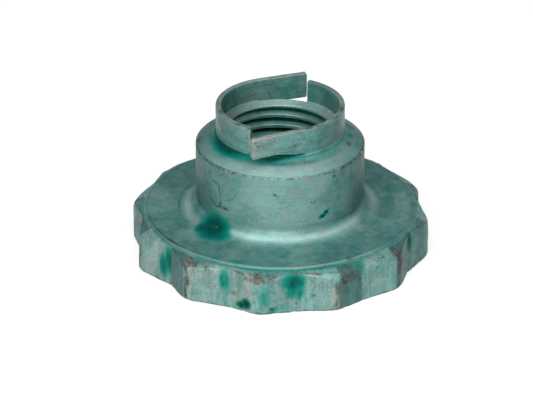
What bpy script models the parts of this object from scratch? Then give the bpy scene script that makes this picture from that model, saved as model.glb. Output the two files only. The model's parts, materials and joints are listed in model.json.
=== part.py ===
"""Lobed hand nut: a grip ring on a flanged hub, with a threaded sleeve through both.

The sleeve stands out of the hub as a thin collar. Two L-shaped slits free a tongue of the collar's
wall on each side, and each tongue is bent out along its tangent, so that it flexes at its root.
Metres, +Z up. The origin is on the thread's axis, on the plane that the nut stands on. The front,
which has one of the two tongues, faces -Y.
"""

import math

import bmesh
import bpy

MM = 0.001

# Gaps between pieces
SEAT_GAP = 0.3 * MM
SLIT_GAP = 0.3 * MM

# Thread
THREAD_MAJOR_RADIUS = 15.0 * MM
THREAD_PITCH = 3.0 * MM
THREAD_FLANK_ANGLE = math.radians(30.0)
THREAD_DEPTH_SHARE = 5.0 / 8.0
THREAD_ROOT_FLAT_SHARE = 1.0 / 8.0
THREAD_GROOVE_HEIGHT_AT_BACK = 32.4 * MM
THREAD_END_WALL = 0.3 * MM

# Sleeve and its collar
SLEEVE_WALL = 1.6 * MM
COLLAR_WALL = 1.44 * MM
COLLAR_RISE = 7.9 * MM
COUNTERBORE_DEPTH = 5.5 * MM
MOUTH_SLOPE = math.radians(37.0)
FOOT_CHAMFER_OVERSIZE = 0.3 * MM
COLLAR_EDGE_BEVEL = 0.2 * MM

# Tongues
TONGUE_HEIGHT = 6.6 * MM
TONGUE_ROOT_ANGLE = math.radians(22.5)
SLIT_END_ANGLE = math.radians(27.75)
TONGUE_CORNER_BEVEL = 0.3 * MM
FRONT_TONGUE_SPREAD = math.radians(3.5)
REAR_TONGUE_SPREAD = math.radians(-3.5)

# Hub
HUB_WALL = 4.9 * MM
SHOULDER_RISE = 2.8 * MM
SHOULDER_ROUNDING = 0.9 * MM
BARREL_HEIGHT = 18.2 * MM
FOOT_FILLET = 4.5 * MM
FLANGE_REACH = 13.6 * MM
FLANGE_THICKNESS = 2.8 * MM
FLANGE_EDGE_BEVEL = 0.25 * MM
SPIGOT_INSET = 4.4 * MM
RIM_HEIGHT = 11.8 * MM

# Grip ring
LOBE_COUNT = 12
LOBE_PHASE = math.radians(-98.5)
LOBE_RISE = 2.6 * MM
LOBE_TIP_ROUNDING = 1.1 * MM
LOBE_VALLEY_ROUNDING = 1.0 * MM
RING_WALL_AT_VALLEY = 0.9 * MM
RING_STEP = 0.6 * MM
RING_TOP_SLOPE = math.radians(8.0)
RING_BOTTOM_BEVEL = 0.6 * MM

# Facets
TURNED_SEGMENTS = 72
THREAD_SEGMENTS = 36
ARC_SEGMENTS = 5
ROUNDING_SEGMENTS = 3
BEVEL_SEGMENTS = 2
SMOOTH_ANGLE = math.radians(30.0)
CUTTER_MARGIN = 3.0 * MM

# Radii that follow from the sizes above
THREAD_HEIGHT = THREAD_PITCH / (2.0 * math.tan(THREAD_FLANK_ANGLE))
THREAD_MINOR_RADIUS = THREAD_MAJOR_RADIUS - THREAD_HEIGHT * THREAD_DEPTH_SHARE
SLEEVE_RADIUS = THREAD_MAJOR_RADIUS + SLEEVE_WALL
COUNTERBORE_RADIUS = SLEEVE_RADIUS - COLLAR_WALL
COLLAR_MID_RADIUS = SLEEVE_RADIUS - COLLAR_WALL / 2.0
HUB_BORE_RADIUS = SLEEVE_RADIUS + SEAT_GAP
HUB_RADIUS = HUB_BORE_RADIUS + HUB_WALL
FLANGE_RADIUS = HUB_RADIUS + FLANGE_REACH
SPIGOT_RADIUS = FLANGE_RADIUS - SPIGOT_INSET
RECESS_RADIUS = FLANGE_RADIUS + SEAT_GAP
VALLEY_RADIUS = RECESS_RADIUS + RING_WALL_AT_VALLEY
TIP_RADIUS = VALLEY_RADIUS + LOBE_RISE

# Heights that follow from the sizes above
FLANGE_UNDERSIDE = RIM_HEIGHT - FLANGE_THICKNESS
SHOULDER_FOOT = RIM_HEIGHT + BARREL_HEIGHT
SHOULDER_TOP = SHOULDER_FOOT + SHOULDER_RISE
COLLAR_TOP = SHOULDER_TOP + COLLAR_RISE
COUNTERBORE_FLOOR = COLLAR_TOP - COUNTERBORE_DEPTH
TONGUE_FOOT = COLLAR_TOP - TONGUE_HEIGHT
RING_TOP = RIM_HEIGHT - RING_STEP

# Finishes: colours are linear
RING_COLOUR = (0.22, 0.31, 0.29, 1.0)
HUB_COLOUR = (0.17, 0.32, 0.29, 1.0)
SLEEVE_COLOUR = (0.20, 0.33, 0.31, 1.0)
TONGUE_COLOUR = (0.21, 0.35, 0.32, 1.0)
FORGED_ROUGHNESS = 0.55
TURNED_ROUGHNESS = 0.4
PLATED_METALLIC = 0.8


def clear_scene():
    """Remove whatever the scene holds."""
    for old_object in list(bpy.data.objects):
        bpy.data.objects.remove(old_object, do_unlink=True)


def metal(name, colour, roughness):
    """Make a plated metal with one colour."""
    material = bpy.data.materials.new(name)
    material.use_nodes = True
    shader = material.node_tree.nodes["Principled BSDF"]
    shader.inputs["Base Color"].default_value = colour
    shader.inputs["Metallic"].default_value = PLATED_METALLIC
    shader.inputs["Roughness"].default_value = roughness
    return material


def add_object(name, bm, material=None):
    """Turn a finished bmesh into an object of the scene."""
    bmesh.ops.recalc_face_normals(bm, faces=bm.faces[:])
    mesh = bpy.data.meshes.new(name)
    bm.to_mesh(mesh)
    bm.free()
    mesh.shade_smooth()
    mesh.set_sharp_from_angle(angle=SMOOTH_ANGLE)
    new_object = bpy.data.objects.new(name, mesh)
    bpy.context.scene.collection.objects.link(new_object)
    if material:
        mesh.materials.append(material)
    return new_object


def add_cutter(name, bm):
    """Turn a finished bmesh into a cutter, which is not part of the nut."""
    cutter = add_object(name, bm)
    cutter.hide_render = True
    cutter.display_type = "WIRE"
    return cutter


def cut(target, cutter):
    """Take a cutter's shape out of a piece."""
    modifier = target.modifiers.new(cutter.name, "BOOLEAN")
    modifier.operation = "DIFFERENCE"
    modifier.solver = "EXACT"
    modifier.object = cutter


def round_edges(bm, edges, width, segments):
    """Round off some edges of a bmesh."""
    bmesh.ops.bevel(bm, geom=edges, offset=width, segments=segments, profile=0.5, affect="EDGES")


def arc(centre, radius, start, end, steps=ARC_SEGMENTS):
    """Give the points of an arc in a turned profile, from one angle to another."""
    points = []
    for step in range(steps + 1):
        angle = start + (end - start) * step / steps
        points.append((centre[0] + radius * math.cos(angle), centre[1] + radius * math.sin(angle)))
    return points


def spin_profile(profile, segments):
    """Turn a closed outline of (radius, height) points about the Z axis."""
    bm = bmesh.new()
    rings = []
    for radius, height in profile:
        if radius == 0.0:
            rings.append([bm.verts.new((0.0, 0.0, height))])
            continue
        ring = []
        for step in range(segments):
            angle = 2.0 * math.pi * step / segments
            ring.append(bm.verts.new((radius * math.cos(angle), radius * math.sin(angle), height)))
        rings.append(ring)
    for index, ring in enumerate(rings):
        following = rings[(index + 1) % len(rings)]
        for step in range(segments):
            ahead = (step + 1) % segments
            corners = [ring[step % len(ring)], ring[ahead % len(ring)]]
            corners += [following[ahead % len(following)], following[step % len(following)]]
            corners = list(dict.fromkeys(corners))
            if len(corners) > 2:
                bm.faces.new(corners)
    return bm


def sector(inner, outer, start, end, low, high):
    """Make a closed block that is part of a ring, between two angles and two heights."""
    bm = bmesh.new()
    steps = ARC_SEGMENTS * 3
    outline = arc((0.0, 0.0), outer, start, end, steps) + arc((0.0, 0.0), inner, end, start, steps)
    floor = bm.faces.new([bm.verts.new((x, y, low)) for x, y in outline])
    lifted = bmesh.ops.extrude_face_region(bm, geom=[floor])
    roof = [item for item in lifted["geom"] if isinstance(item, bmesh.types.BMVert)]
    bmesh.ops.translate(bm, verts=roof, vec=(0.0, 0.0, high - low))
    return bm


def lobed_block(height):
    """Make the lobed prism: straight flanks between round tips and valleys."""
    bm = bmesh.new()
    corners = []
    for index in range(2 * LOBE_COUNT):
        angle = LOBE_PHASE + math.pi * index / LOBE_COUNT
        radius = TIP_RADIUS if index % 2 == 0 else VALLEY_RADIUS
        corners.append(bm.verts.new((radius * math.cos(angle), radius * math.sin(angle), 0.0)))
    floor = bm.faces.new(corners)
    lifted = bmesh.ops.extrude_face_region(bm, geom=[floor])
    roof = [item for item in lifted["geom"] if isinstance(item, bmesh.types.BMVert)]
    bmesh.ops.translate(bm, verts=roof, vec=(0.0, 0.0, height))
    halfway = (TIP_RADIUS + VALLEY_RADIUS) / 2.0
    for at_tip, width in ((True, LOBE_TIP_ROUNDING), (False, LOBE_VALLEY_ROUNDING)):
        upright = []
        for edge in bm.edges:
            low, high = edge.verts
            stands = abs(low.co.z - high.co.z) > height / 2.0
            if stands and (math.hypot(low.co.x, low.co.y) > halfway) == at_tip:
                upright.append(edge)
        round_edges(bm, upright, width, ROUNDING_SEGMENTS)
    rim = [edge for edge in bm.edges if all(vertex.co.z < height / 2.0 for vertex in edge.verts)]
    round_edges(bm, rim, RING_BOTTOM_BEVEL, BEVEL_SEGMENTS)
    return bm


def build_grip_ring():
    """Build the forged ring that the hand turns, with a seat for the hub's flange."""
    blank_height = RIM_HEIGHT + CUTTER_MARGIN
    outside = TIP_RADIUS + CUTTER_MARGIN
    slope_drop = (outside - RECESS_RADIUS) * math.tan(RING_TOP_SLOPE)
    seat_floor = FLANGE_UNDERSIDE - SEAT_GAP
    finish = metal("forged_plated_steel", RING_COLOUR, FORGED_ROUGHNESS)
    ring = add_object("grip_ring", lobed_block(blank_height), finish)
    profile = [
        (0.0, -CUTTER_MARGIN),
        (SPIGOT_RADIUS + SEAT_GAP, -CUTTER_MARGIN),
        (SPIGOT_RADIUS + SEAT_GAP, seat_floor),
        (RECESS_RADIUS, seat_floor),
        (RECESS_RADIUS, RING_TOP),
        (outside, RING_TOP - slope_drop),
        (outside, blank_height + CUTTER_MARGIN),
        (0.0, blank_height + CUTTER_MARGIN),
    ]
    cut(ring, add_cutter("flange_seat_cutter", spin_profile(profile, TURNED_SEGMENTS)))


def build_flanged_hub():
    """Build the turned hub: flange disc, barrel on a fillet, and sloped shoulder."""
    slope = math.atan2(SHOULDER_RISE, HUB_RADIUS - HUB_BORE_RADIUS)
    rounding_drop = SHOULDER_ROUNDING * math.tan((math.pi / 2.0 - slope) / 2.0)
    rounding_centre = (HUB_RADIUS - SHOULDER_ROUNDING, SHOULDER_FOOT - rounding_drop)
    fillet_centre = (HUB_RADIUS + FOOT_FILLET, RIM_HEIGHT + FOOT_FILLET)
    profile = [
        (HUB_BORE_RADIUS, 0.0),
        (HUB_BORE_RADIUS, SHOULDER_TOP),
    ]
    profile += arc(rounding_centre, SHOULDER_ROUNDING, math.pi / 2.0 - slope, 0.0, ROUNDING_SEGMENTS)
    profile += arc(fillet_centre, FOOT_FILLET, math.pi, 1.5 * math.pi)
    profile += [
        (FLANGE_RADIUS - FLANGE_EDGE_BEVEL, RIM_HEIGHT),
        (FLANGE_RADIUS, RIM_HEIGHT - FLANGE_EDGE_BEVEL),
        (FLANGE_RADIUS, FLANGE_UNDERSIDE),
        (SPIGOT_RADIUS, FLANGE_UNDERSIDE),
        (SPIGOT_RADIUS, 0.0),
    ]
    finish = metal("turned_plated_steel", HUB_COLOUR, TURNED_ROUGHNESS)
    add_object("flanged_hub", spin_profile(profile, TURNED_SEGMENTS), finish)


def thread_cutter():
    """Make the closed helix that cuts the thread's groove, right-handed."""
    bm = bmesh.new()
    inside = THREAD_MINOR_RADIUS - SEAT_GAP
    root_half = THREAD_PITCH * THREAD_ROOT_FLAT_SHARE / 2.0
    mouth_half = root_half + (THREAD_MAJOR_RADIUS - inside) * math.tan(THREAD_FLANK_ANGLE)
    section = [
        (inside, -mouth_half),
        (THREAD_MAJOR_RADIUS, -root_half),
        (THREAD_MAJOR_RADIUS, root_half),
        (inside, mouth_half),
    ]
    last_groove = TONGUE_FOOT - SLIT_GAP - THREAD_END_WALL - root_half
    turns_down = (THREAD_GROOVE_HEIGHT_AT_BACK + CUTTER_MARGIN) / THREAD_PITCH
    turns = turns_down + (last_groove - THREAD_GROOVE_HEIGHT_AT_BACK) / THREAD_PITCH
    steps = math.ceil(turns * THREAD_SEGMENTS)
    previous = None
    for step in range(steps + 1):
        turn = turns * step / steps - turns_down
        angle = math.pi / 2.0 + 2.0 * math.pi * turn
        rise = THREAD_GROOVE_HEIGHT_AT_BACK + THREAD_PITCH * turn
        loop = []
        for radius, offset in section:
            loop.append(bm.verts.new((radius * math.cos(angle), radius * math.sin(angle), rise + offset)))
        if previous is None:
            bm.faces.new(loop)
        else:
            for corner in range(len(loop)):
                ahead = (corner + 1) % len(loop)
                bm.faces.new((previous[corner], previous[ahead], loop[ahead], loop[corner]))
        previous = loop
    bm.faces.new(previous)
    return bm


def build_threaded_sleeve():
    """Build the sleeve: thread, counterbored collar, and the two slits that free the tongues."""
    mouth_drop = (COUNTERBORE_RADIUS - THREAD_MINOR_RADIUS) * math.tan(MOUTH_SLOPE)
    foot_run = THREAD_MAJOR_RADIUS + FOOT_CHAMFER_OVERSIZE - THREAD_MINOR_RADIUS
    profile = [
        (SLEEVE_RADIUS, 0.0),
        (THREAD_MINOR_RADIUS + foot_run, 0.0),
        (THREAD_MINOR_RADIUS, foot_run),
        (THREAD_MINOR_RADIUS, COUNTERBORE_FLOOR - mouth_drop),
        (COUNTERBORE_RADIUS, COUNTERBORE_FLOOR),
        (COUNTERBORE_RADIUS, COLLAR_TOP - COLLAR_EDGE_BEVEL),
        (COUNTERBORE_RADIUS + COLLAR_EDGE_BEVEL, COLLAR_TOP),
        (SLEEVE_RADIUS - COLLAR_EDGE_BEVEL, COLLAR_TOP),
        (SLEEVE_RADIUS, COLLAR_TOP - COLLAR_EDGE_BEVEL),
    ]
    finish = metal("threaded_plated_steel", SLEEVE_COLOUR, TURNED_ROUGHNESS)
    sleeve = add_object("threaded_sleeve", spin_profile(profile, THREAD_SEGMENTS), finish)
    cut(sleeve, add_cutter("thread_cutter", thread_cutter()))
    for name, facing in (("front_slit_cutter", -math.pi / 2.0), ("rear_slit_cutter", math.pi / 2.0)):
        slit = sector(
            COUNTERBORE_RADIUS - SLIT_GAP,
            SLEEVE_RADIUS + CUTTER_MARGIN,
            facing - SLIT_END_ANGLE,
            facing + TONGUE_ROOT_ANGLE,
            TONGUE_FOOT - SLIT_GAP,
            COLLAR_TOP + CUTTER_MARGIN,
        )
        cut(sleeve, add_cutter(name, slit))


def build_tongue(name, facing, spread):
    """Build one tongue: a straight strip whose origin is on the axis where it flexes.

    facing is the direction that its side of the nut looks in, and spread is how far it stands out
    from the tangent at its root.
    """
    length = COLLAR_MID_RADIUS * (TONGUE_ROOT_ANGLE + SLIT_END_ANGLE)
    bm = bmesh.new()
    bmesh.ops.create_cube(bm, size=1.0)
    bmesh.ops.scale(bm, verts=bm.verts[:], vec=(length - SLIT_GAP, COLLAR_WALL, TONGUE_HEIGHT))
    middle = ((length + SLIT_GAP) / 2.0, 0.0, TONGUE_HEIGHT / 2.0)
    bmesh.ops.translate(bm, verts=bm.verts[:], vec=middle)
    free_end = [edge for edge in bm.edges if all(vertex.co.x > length / 2.0 for vertex in edge.verts)]
    across = [edge for edge in free_end if abs(edge.verts[0].co.y - edge.verts[1].co.y) > COLLAR_WALL / 2.0]
    round_edges(bm, across, TONGUE_CORNER_BEVEL, BEVEL_SEGMENTS)
    tongue = add_object(name, bm, metal(name + "_plated_steel", TONGUE_COLOUR, TURNED_ROUGHNESS))
    root = facing + TONGUE_ROOT_ANGLE
    tongue.location = (COLLAR_MID_RADIUS * math.cos(root), COLLAR_MID_RADIUS * math.sin(root), TONGUE_FOOT)
    tongue.rotation_euler = (0.0, 0.0, root - math.pi / 2.0 + spread)


def main():
    """Build every piece of the nut."""
    clear_scene()
    build_grip_ring()
    build_flanged_hub()
    build_threaded_sleeve()
    build_tongue("front_tongue", -math.pi / 2.0, FRONT_TONGUE_SPREAD)
    build_tongue("rear_tongue", math.pi / 2.0, REAR_TONGUE_SPREAD)


main()
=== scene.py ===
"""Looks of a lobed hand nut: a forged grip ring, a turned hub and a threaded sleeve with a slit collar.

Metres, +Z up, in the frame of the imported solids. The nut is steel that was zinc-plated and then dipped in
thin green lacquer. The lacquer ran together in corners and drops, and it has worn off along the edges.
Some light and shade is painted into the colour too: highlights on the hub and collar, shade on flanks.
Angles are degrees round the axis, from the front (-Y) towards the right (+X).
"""

import json
import logging
import math
import random
from abc import ABC, abstractmethod
from collections.abc import Callable, Iterable
from dataclasses import dataclass, field
from enum import Enum
from functools import partial
from typing import Any, ClassVar

import bpy
import numpy as np
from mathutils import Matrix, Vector, noise

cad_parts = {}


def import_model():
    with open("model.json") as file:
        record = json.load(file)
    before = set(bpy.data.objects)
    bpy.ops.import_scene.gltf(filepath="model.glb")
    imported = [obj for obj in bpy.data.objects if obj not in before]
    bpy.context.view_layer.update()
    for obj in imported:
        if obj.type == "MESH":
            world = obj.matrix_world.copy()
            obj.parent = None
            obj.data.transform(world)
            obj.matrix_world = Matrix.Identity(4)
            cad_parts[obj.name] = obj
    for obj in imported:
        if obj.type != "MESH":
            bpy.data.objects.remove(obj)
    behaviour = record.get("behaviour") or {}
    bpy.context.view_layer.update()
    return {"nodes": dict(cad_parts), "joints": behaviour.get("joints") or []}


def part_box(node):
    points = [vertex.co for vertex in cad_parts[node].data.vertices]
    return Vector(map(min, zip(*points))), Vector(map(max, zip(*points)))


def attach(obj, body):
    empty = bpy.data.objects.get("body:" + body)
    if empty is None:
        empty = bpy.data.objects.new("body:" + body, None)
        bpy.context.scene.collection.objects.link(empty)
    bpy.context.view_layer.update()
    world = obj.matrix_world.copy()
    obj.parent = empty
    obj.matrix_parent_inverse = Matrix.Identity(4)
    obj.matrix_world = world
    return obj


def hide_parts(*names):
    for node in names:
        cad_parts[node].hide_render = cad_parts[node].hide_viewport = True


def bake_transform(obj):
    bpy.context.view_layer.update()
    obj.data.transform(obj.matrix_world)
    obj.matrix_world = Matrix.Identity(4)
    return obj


MM = 0.001
FULL_TURN = 360.0
HALF_TURN = 180.0
QUARTER_TURN = 90.0
LOG = logging.getLogger("hand_nut")

Array = np.ndarray
Socket = bpy.types.NodeSocket
Adder = Callable[..., Socket]
Span = tuple[float, float]
SMOOTH = {"interpolation_type": "SMOOTHSTEP"}


class Slot(Enum):
    """The record's material slots."""

    RIM = "rim"
    HUB = "hub"
    SLEEVE = "sleeve"


class Lay(Enum):
    """The way that tool marks run, by the factors that draw their pattern out.

    The factors of turned marks are for the radius, x and z, and those of the others for x, y and z.
    """

    TURNED = (1.0, 0.05, 1.0)
    BRUSHED = (0.05, 0.05, 1.0)
    DRAWN = (1.0, 1.0, 0.1)


class Side(Enum):
    """The two sides of the collar that have a tongue, by the angle of their middle."""

    FRONT = 0.0
    REAR = 180.0


class Mask(Enum):
    """What a skin notes per point, 0 to 1: pooled lacquer, wear, thin film and painted light, dirt and
    painted shade.
    """

    POOL = "pool"
    WEAR = "wear"
    # Thin film, and painted light: highlights and lit fronts.
    BARE = "bare"
    # Dirt, and painted shade on flanks, feet and sides.
    SOIL = "soil"


class Cloud(Enum):
    """The clouds of noise in a finish, by the shift of their seed, their detail and their roughness."""

    BLOTCH = (0.0, 5.0, 0.62)
    PATCH = (5.0, 5.0, 0.62)
    HAZE = (61.0, 5.0, 0.62)
    RUB = (0.0, 6.0, 0.68)
    FLECK = (51.0, 6.0, 0.68)
    CRACK = (21.0, 5.0, 0.6)
    CRACKED_AREA = (31.0, 3.0, 0.5)
    SPECK = (41.0, 3.0, 0.5)


Clouds = dict[Cloud, Socket]


def linear(hex_colour: str) -> tuple[float, float, float, float]:
    """Turn an sRGB hex colour into linear values.

    Args:
        hex_colour: a colour such as "#7fb3ab".

    Returns:
        Red, green, blue and an alpha of 1.
    """
    parts = [int(hex_colour[place : place + 2], 16) / 255.0 for place in (1, 3, 5)]
    red, green, blue = (p / 12.92 if p <= 0.04045 else ((p + 0.055) / 1.055) ** 2.4 for p in parts)
    return red, green, blue, 1.0


def per_size(size_mm: float) -> float:
    """Give the scale at which a pattern's features have a real size in millimetres."""
    return 1.0 / (size_mm * MM)


def span(edge: Span, ends: Span = (0.0, 1.0)) -> dict[str, float]:
    """Give the inputs that turn one span of values into another."""
    return {"From Min": edge[0], "From Max": edge[1], "To Min": ends[0], "To Max": ends[1]}


def add_node(
    tree: bpy.types.NodeTree,
    kind: str,
    inputs: dict[Any, Any] | None = None,
    output: int | str = 0,
    **settings: Any,
) -> Socket | None:
    """Add a node with its settings and links.

    Args:
        tree: the node tree that gets the node.
        kind: the node's Blender type, without the word ShaderNode.
        inputs: by name or number of an input, its value or the output that feeds it.
        output: the name or number of the output that is wanted.
        **settings: the node's own properties.

    Returns:
        The wanted output, or None for a node that has no outputs.
    """
    node = tree.nodes.new("ShaderNode" + kind)
    for name, value in settings.items():
        setattr(node, name, value)
    for key, value in (inputs or {}).items():
        if isinstance(value, Socket):
            tree.links.new(value, node.inputs[key])
        else:
            node.inputs[key].default_value = value
    return node.outputs[output] if len(node.outputs) else None


def fresh_nodes(owner: bpy.types.Material | bpy.types.World) -> Adder:
    """Clear the nodes of a material or a world.

    Args:
        owner: what the nodes belong to.

    Returns:
        A function that adds a node there.
    """
    owner.use_nodes = True
    owner.node_tree.nodes.clear()
    return partial(add_node, owner.node_tree)


def around(angles: Array | float, radii: Array | float) -> Array:
    """Place points round the axis.

    Args:
        angles: degrees from the front to the right.
        radii: distances from the axis.

    Returns:
        The points' x and y, in the last axis.
    """
    turned = np.radians(angles)
    return np.stack((radii * np.sin(turned), -radii * np.cos(turned)), axis=-1)


def angles_of(points: Array) -> Array:
    """Give the angle of each point round the axis, in degrees."""
    return np.degrees(np.arctan2(points[..., 0], -points[..., 1]))


def turn_from(angles: Array, middle: float) -> Array:
    """Give the shortest turn from one angle to others, in degrees."""
    return (angles - middle + HALF_TURN) % FULL_TURN - HALF_TURN


def bell(offsets: Array, width: float) -> Array:
    """Give a soft bump that is 1 at no offset and fades over a width."""
    return np.exp(-((offsets / width) ** 2))


def fade(distances: Array, reach: Array | float) -> Array:
    """Give a value that is 1 at no distance and fades with it."""
    return np.exp(-distances / reach)


def ease(values: Array, low: float, high: float) -> Array:
    """Give a smooth step from 0 at one value to 1 at another."""
    share = np.clip((values - low) / (high - low), 0.0, 1.0)
    return share * share * (3.0 - 2.0 * share)


def spaced(start: float, end: float, step: float) -> Array:
    """Divide a length evenly, with steps no longer than one given."""
    return np.linspace(start, end, max(2, math.ceil(abs(end - start) / step) + 1))


def even_path(corners: Array, step: float) -> Array:
    """Add points along a path so that none are further apart than a step.

    Args:
        corners: the path's own points, which all stay.
        step: the longest distance between two points.

    Returns:
        The finer path.
    """
    path = []
    for start, end in zip(corners[:-1], corners[1:]):
        shares = spaced(0.0, 1.0, step / max(float(np.linalg.norm(end - start)), step * 0.01))
        path += [start + (end - start) * share for share in shares[:-1]]
    path.append(corners[-1])
    return np.array(path)


def arc(centre: Span, radius: float, start: float, end: float, steps: int) -> list[Span]:
    """Give the points of an arc in a turned profile.

    Args:
        centre: the arc's middle, as distance from the axis and height.
        radius: the arc's radius.
        start: the angle of its first point, in degrees.
        end: the angle of its last point, in degrees.
        steps: how many chords it has.

    Returns:
        Points as distance from the axis and height.
    """
    angles = np.radians(np.linspace(start, end, steps + 1))
    return [(centre[0] + radius * math.cos(a), centre[1] + radius * math.sin(a)) for a in angles]


@dataclass(frozen=True)
class Reach:
    """How far a solid of the frame reaches."""

    outer: float
    inner: float
    high: float

    @classmethod
    def of_node(cls, node: bpy.types.Object) -> "Reach":
        """Measure a solid.

        Args:
            node: the solid's object.

        Returns:
            Its largest and smallest distance from the axis, and its greatest height.
        """
        places = np.array([vertex.co for vertex in node.data.vertices])
        radii = np.hypot(places[:, 0], places[:, 1])
        return cls(float(radii.max()), float(radii.min()), float(places[:, 2].max()))


@dataclass(frozen=True)
class Turn:
    """A stretch round the axis: its middle, how far it fades to each side, and its strength."""

    middle: float
    width: float
    level: float = 1.0

    def on(self, angles: Array) -> Array:
        """Work out the stretch's strength at angles."""
        return self.level * bell(turn_from(angles, self.middle), self.width)


@dataclass(frozen=True)
class Ripple:
    """Smooth noise: how far apart its ripples are, in millimetres, a shift of its own and its strength."""

    size: float
    seed: float
    level: float = 1.0

    def on(self, points: Array) -> Array:
        """Sample the noise at points.

        Args:
            points: places, with x, y and z in the last axis.

        Returns:
            One value for each point, to about the noise's strength above and below 0.
        """
        places = points.reshape(-1, 3) / (self.size * MM) + self.seed
        values = [noise.noise(Vector(place)) for place in places]
        return self.level * np.array(values).reshape(points.shape[:-1])


def over(layers: Iterable[Turn | Ripple], places: Array) -> Array:
    """Add up the strengths of several stretches at angles, or of several noises at points."""
    return sum(layer.on(places) for layer in layers)


@dataclass(frozen=True)
class Facet:
    """A flank of a lobe between two angles, and the strength of what is painted on it: shade or light."""

    start: float
    end: float
    share: float

    def on(self, angles: Array, soft: float) -> Array:
        """Work out the flank's share at angles, with borders that are soft over some degrees."""
        inside = ease(turn_from(angles, self.start), -soft, soft)
        return self.share * inside * ease(turn_from(angles, self.end), soft, -soft)


@dataclass(frozen=True)
class Spot:
    """A drop of lacquer, a stain or a rub. Sizes are millimetres, angles degrees."""

    angle: float
    radius: float
    height: float
    width: float
    length: float
    depth: float = 1.0
    core: ClassVar[float] = 0.15
    border: ClassVar[float] = 1.5

    def on(self, points: Array) -> Array:
        """Work out how strong the spot is at points.

        Args:
            points: places on a skin.

        Returns:
            The spot's depth in its middle, fading to 0 round it.
        """
        outward = around(self.angle, 1.0)
        sideways = around(self.angle + QUARTER_TURN, 1.0)
        offset = points - np.append(around(self.angle, self.radius * MM), self.height * MM)
        across = offset[..., :2] @ sideways / (self.width * MM)
        through = offset[..., :2] @ outward / (max(self.width, self.length) * MM)
        along = offset[..., 2] / (self.length * MM)
        far = np.sqrt(across**2 + through**2 + along**2)
        return self.depth * (1.0 - ease(far, self.core, self.border))


@dataclass(frozen=True)
class Crack:
    """A crack of the lacquer on a turned wall, through points given as degrees and millimetres."""

    course: tuple[Span, ...]
    width: float = 0.3
    depth: float = 0.9
    core: ClassVar[float] = 0.3
    border: ClassVar[float] = 1.5

    def on(self, angles: Array, heights: Array, radius: float) -> Array:
        """Work out how dark the crack is at points of the wall.

        Args:
            angles: degrees round the axis.
            heights: heights of the points.
            radius: the wall's radius.

        Returns:
            The crack's depth on it, fading to 0 beside it.
        """
        nearest = np.full(angles.shape, 1.0)
        for (start_angle, start_height), (end_angle, end_height) in zip(self.course[:-1], self.course[1:]):
            across = np.radians(turn_from(angles, start_angle)) * radius
            up = heights - start_height * MM
            run = math.radians(end_angle - start_angle) * radius
            rise = (end_height - start_height) * MM
            share = np.clip((across * run + up * rise) / (run**2 + rise**2), 0.0, 1.0)
            nearest = np.minimum(nearest, np.hypot(across - share * run, up - share * rise))
        width = self.width * MM
        return self.depth * (1.0 - ease(nearest, self.core * width, self.border * width))


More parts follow.
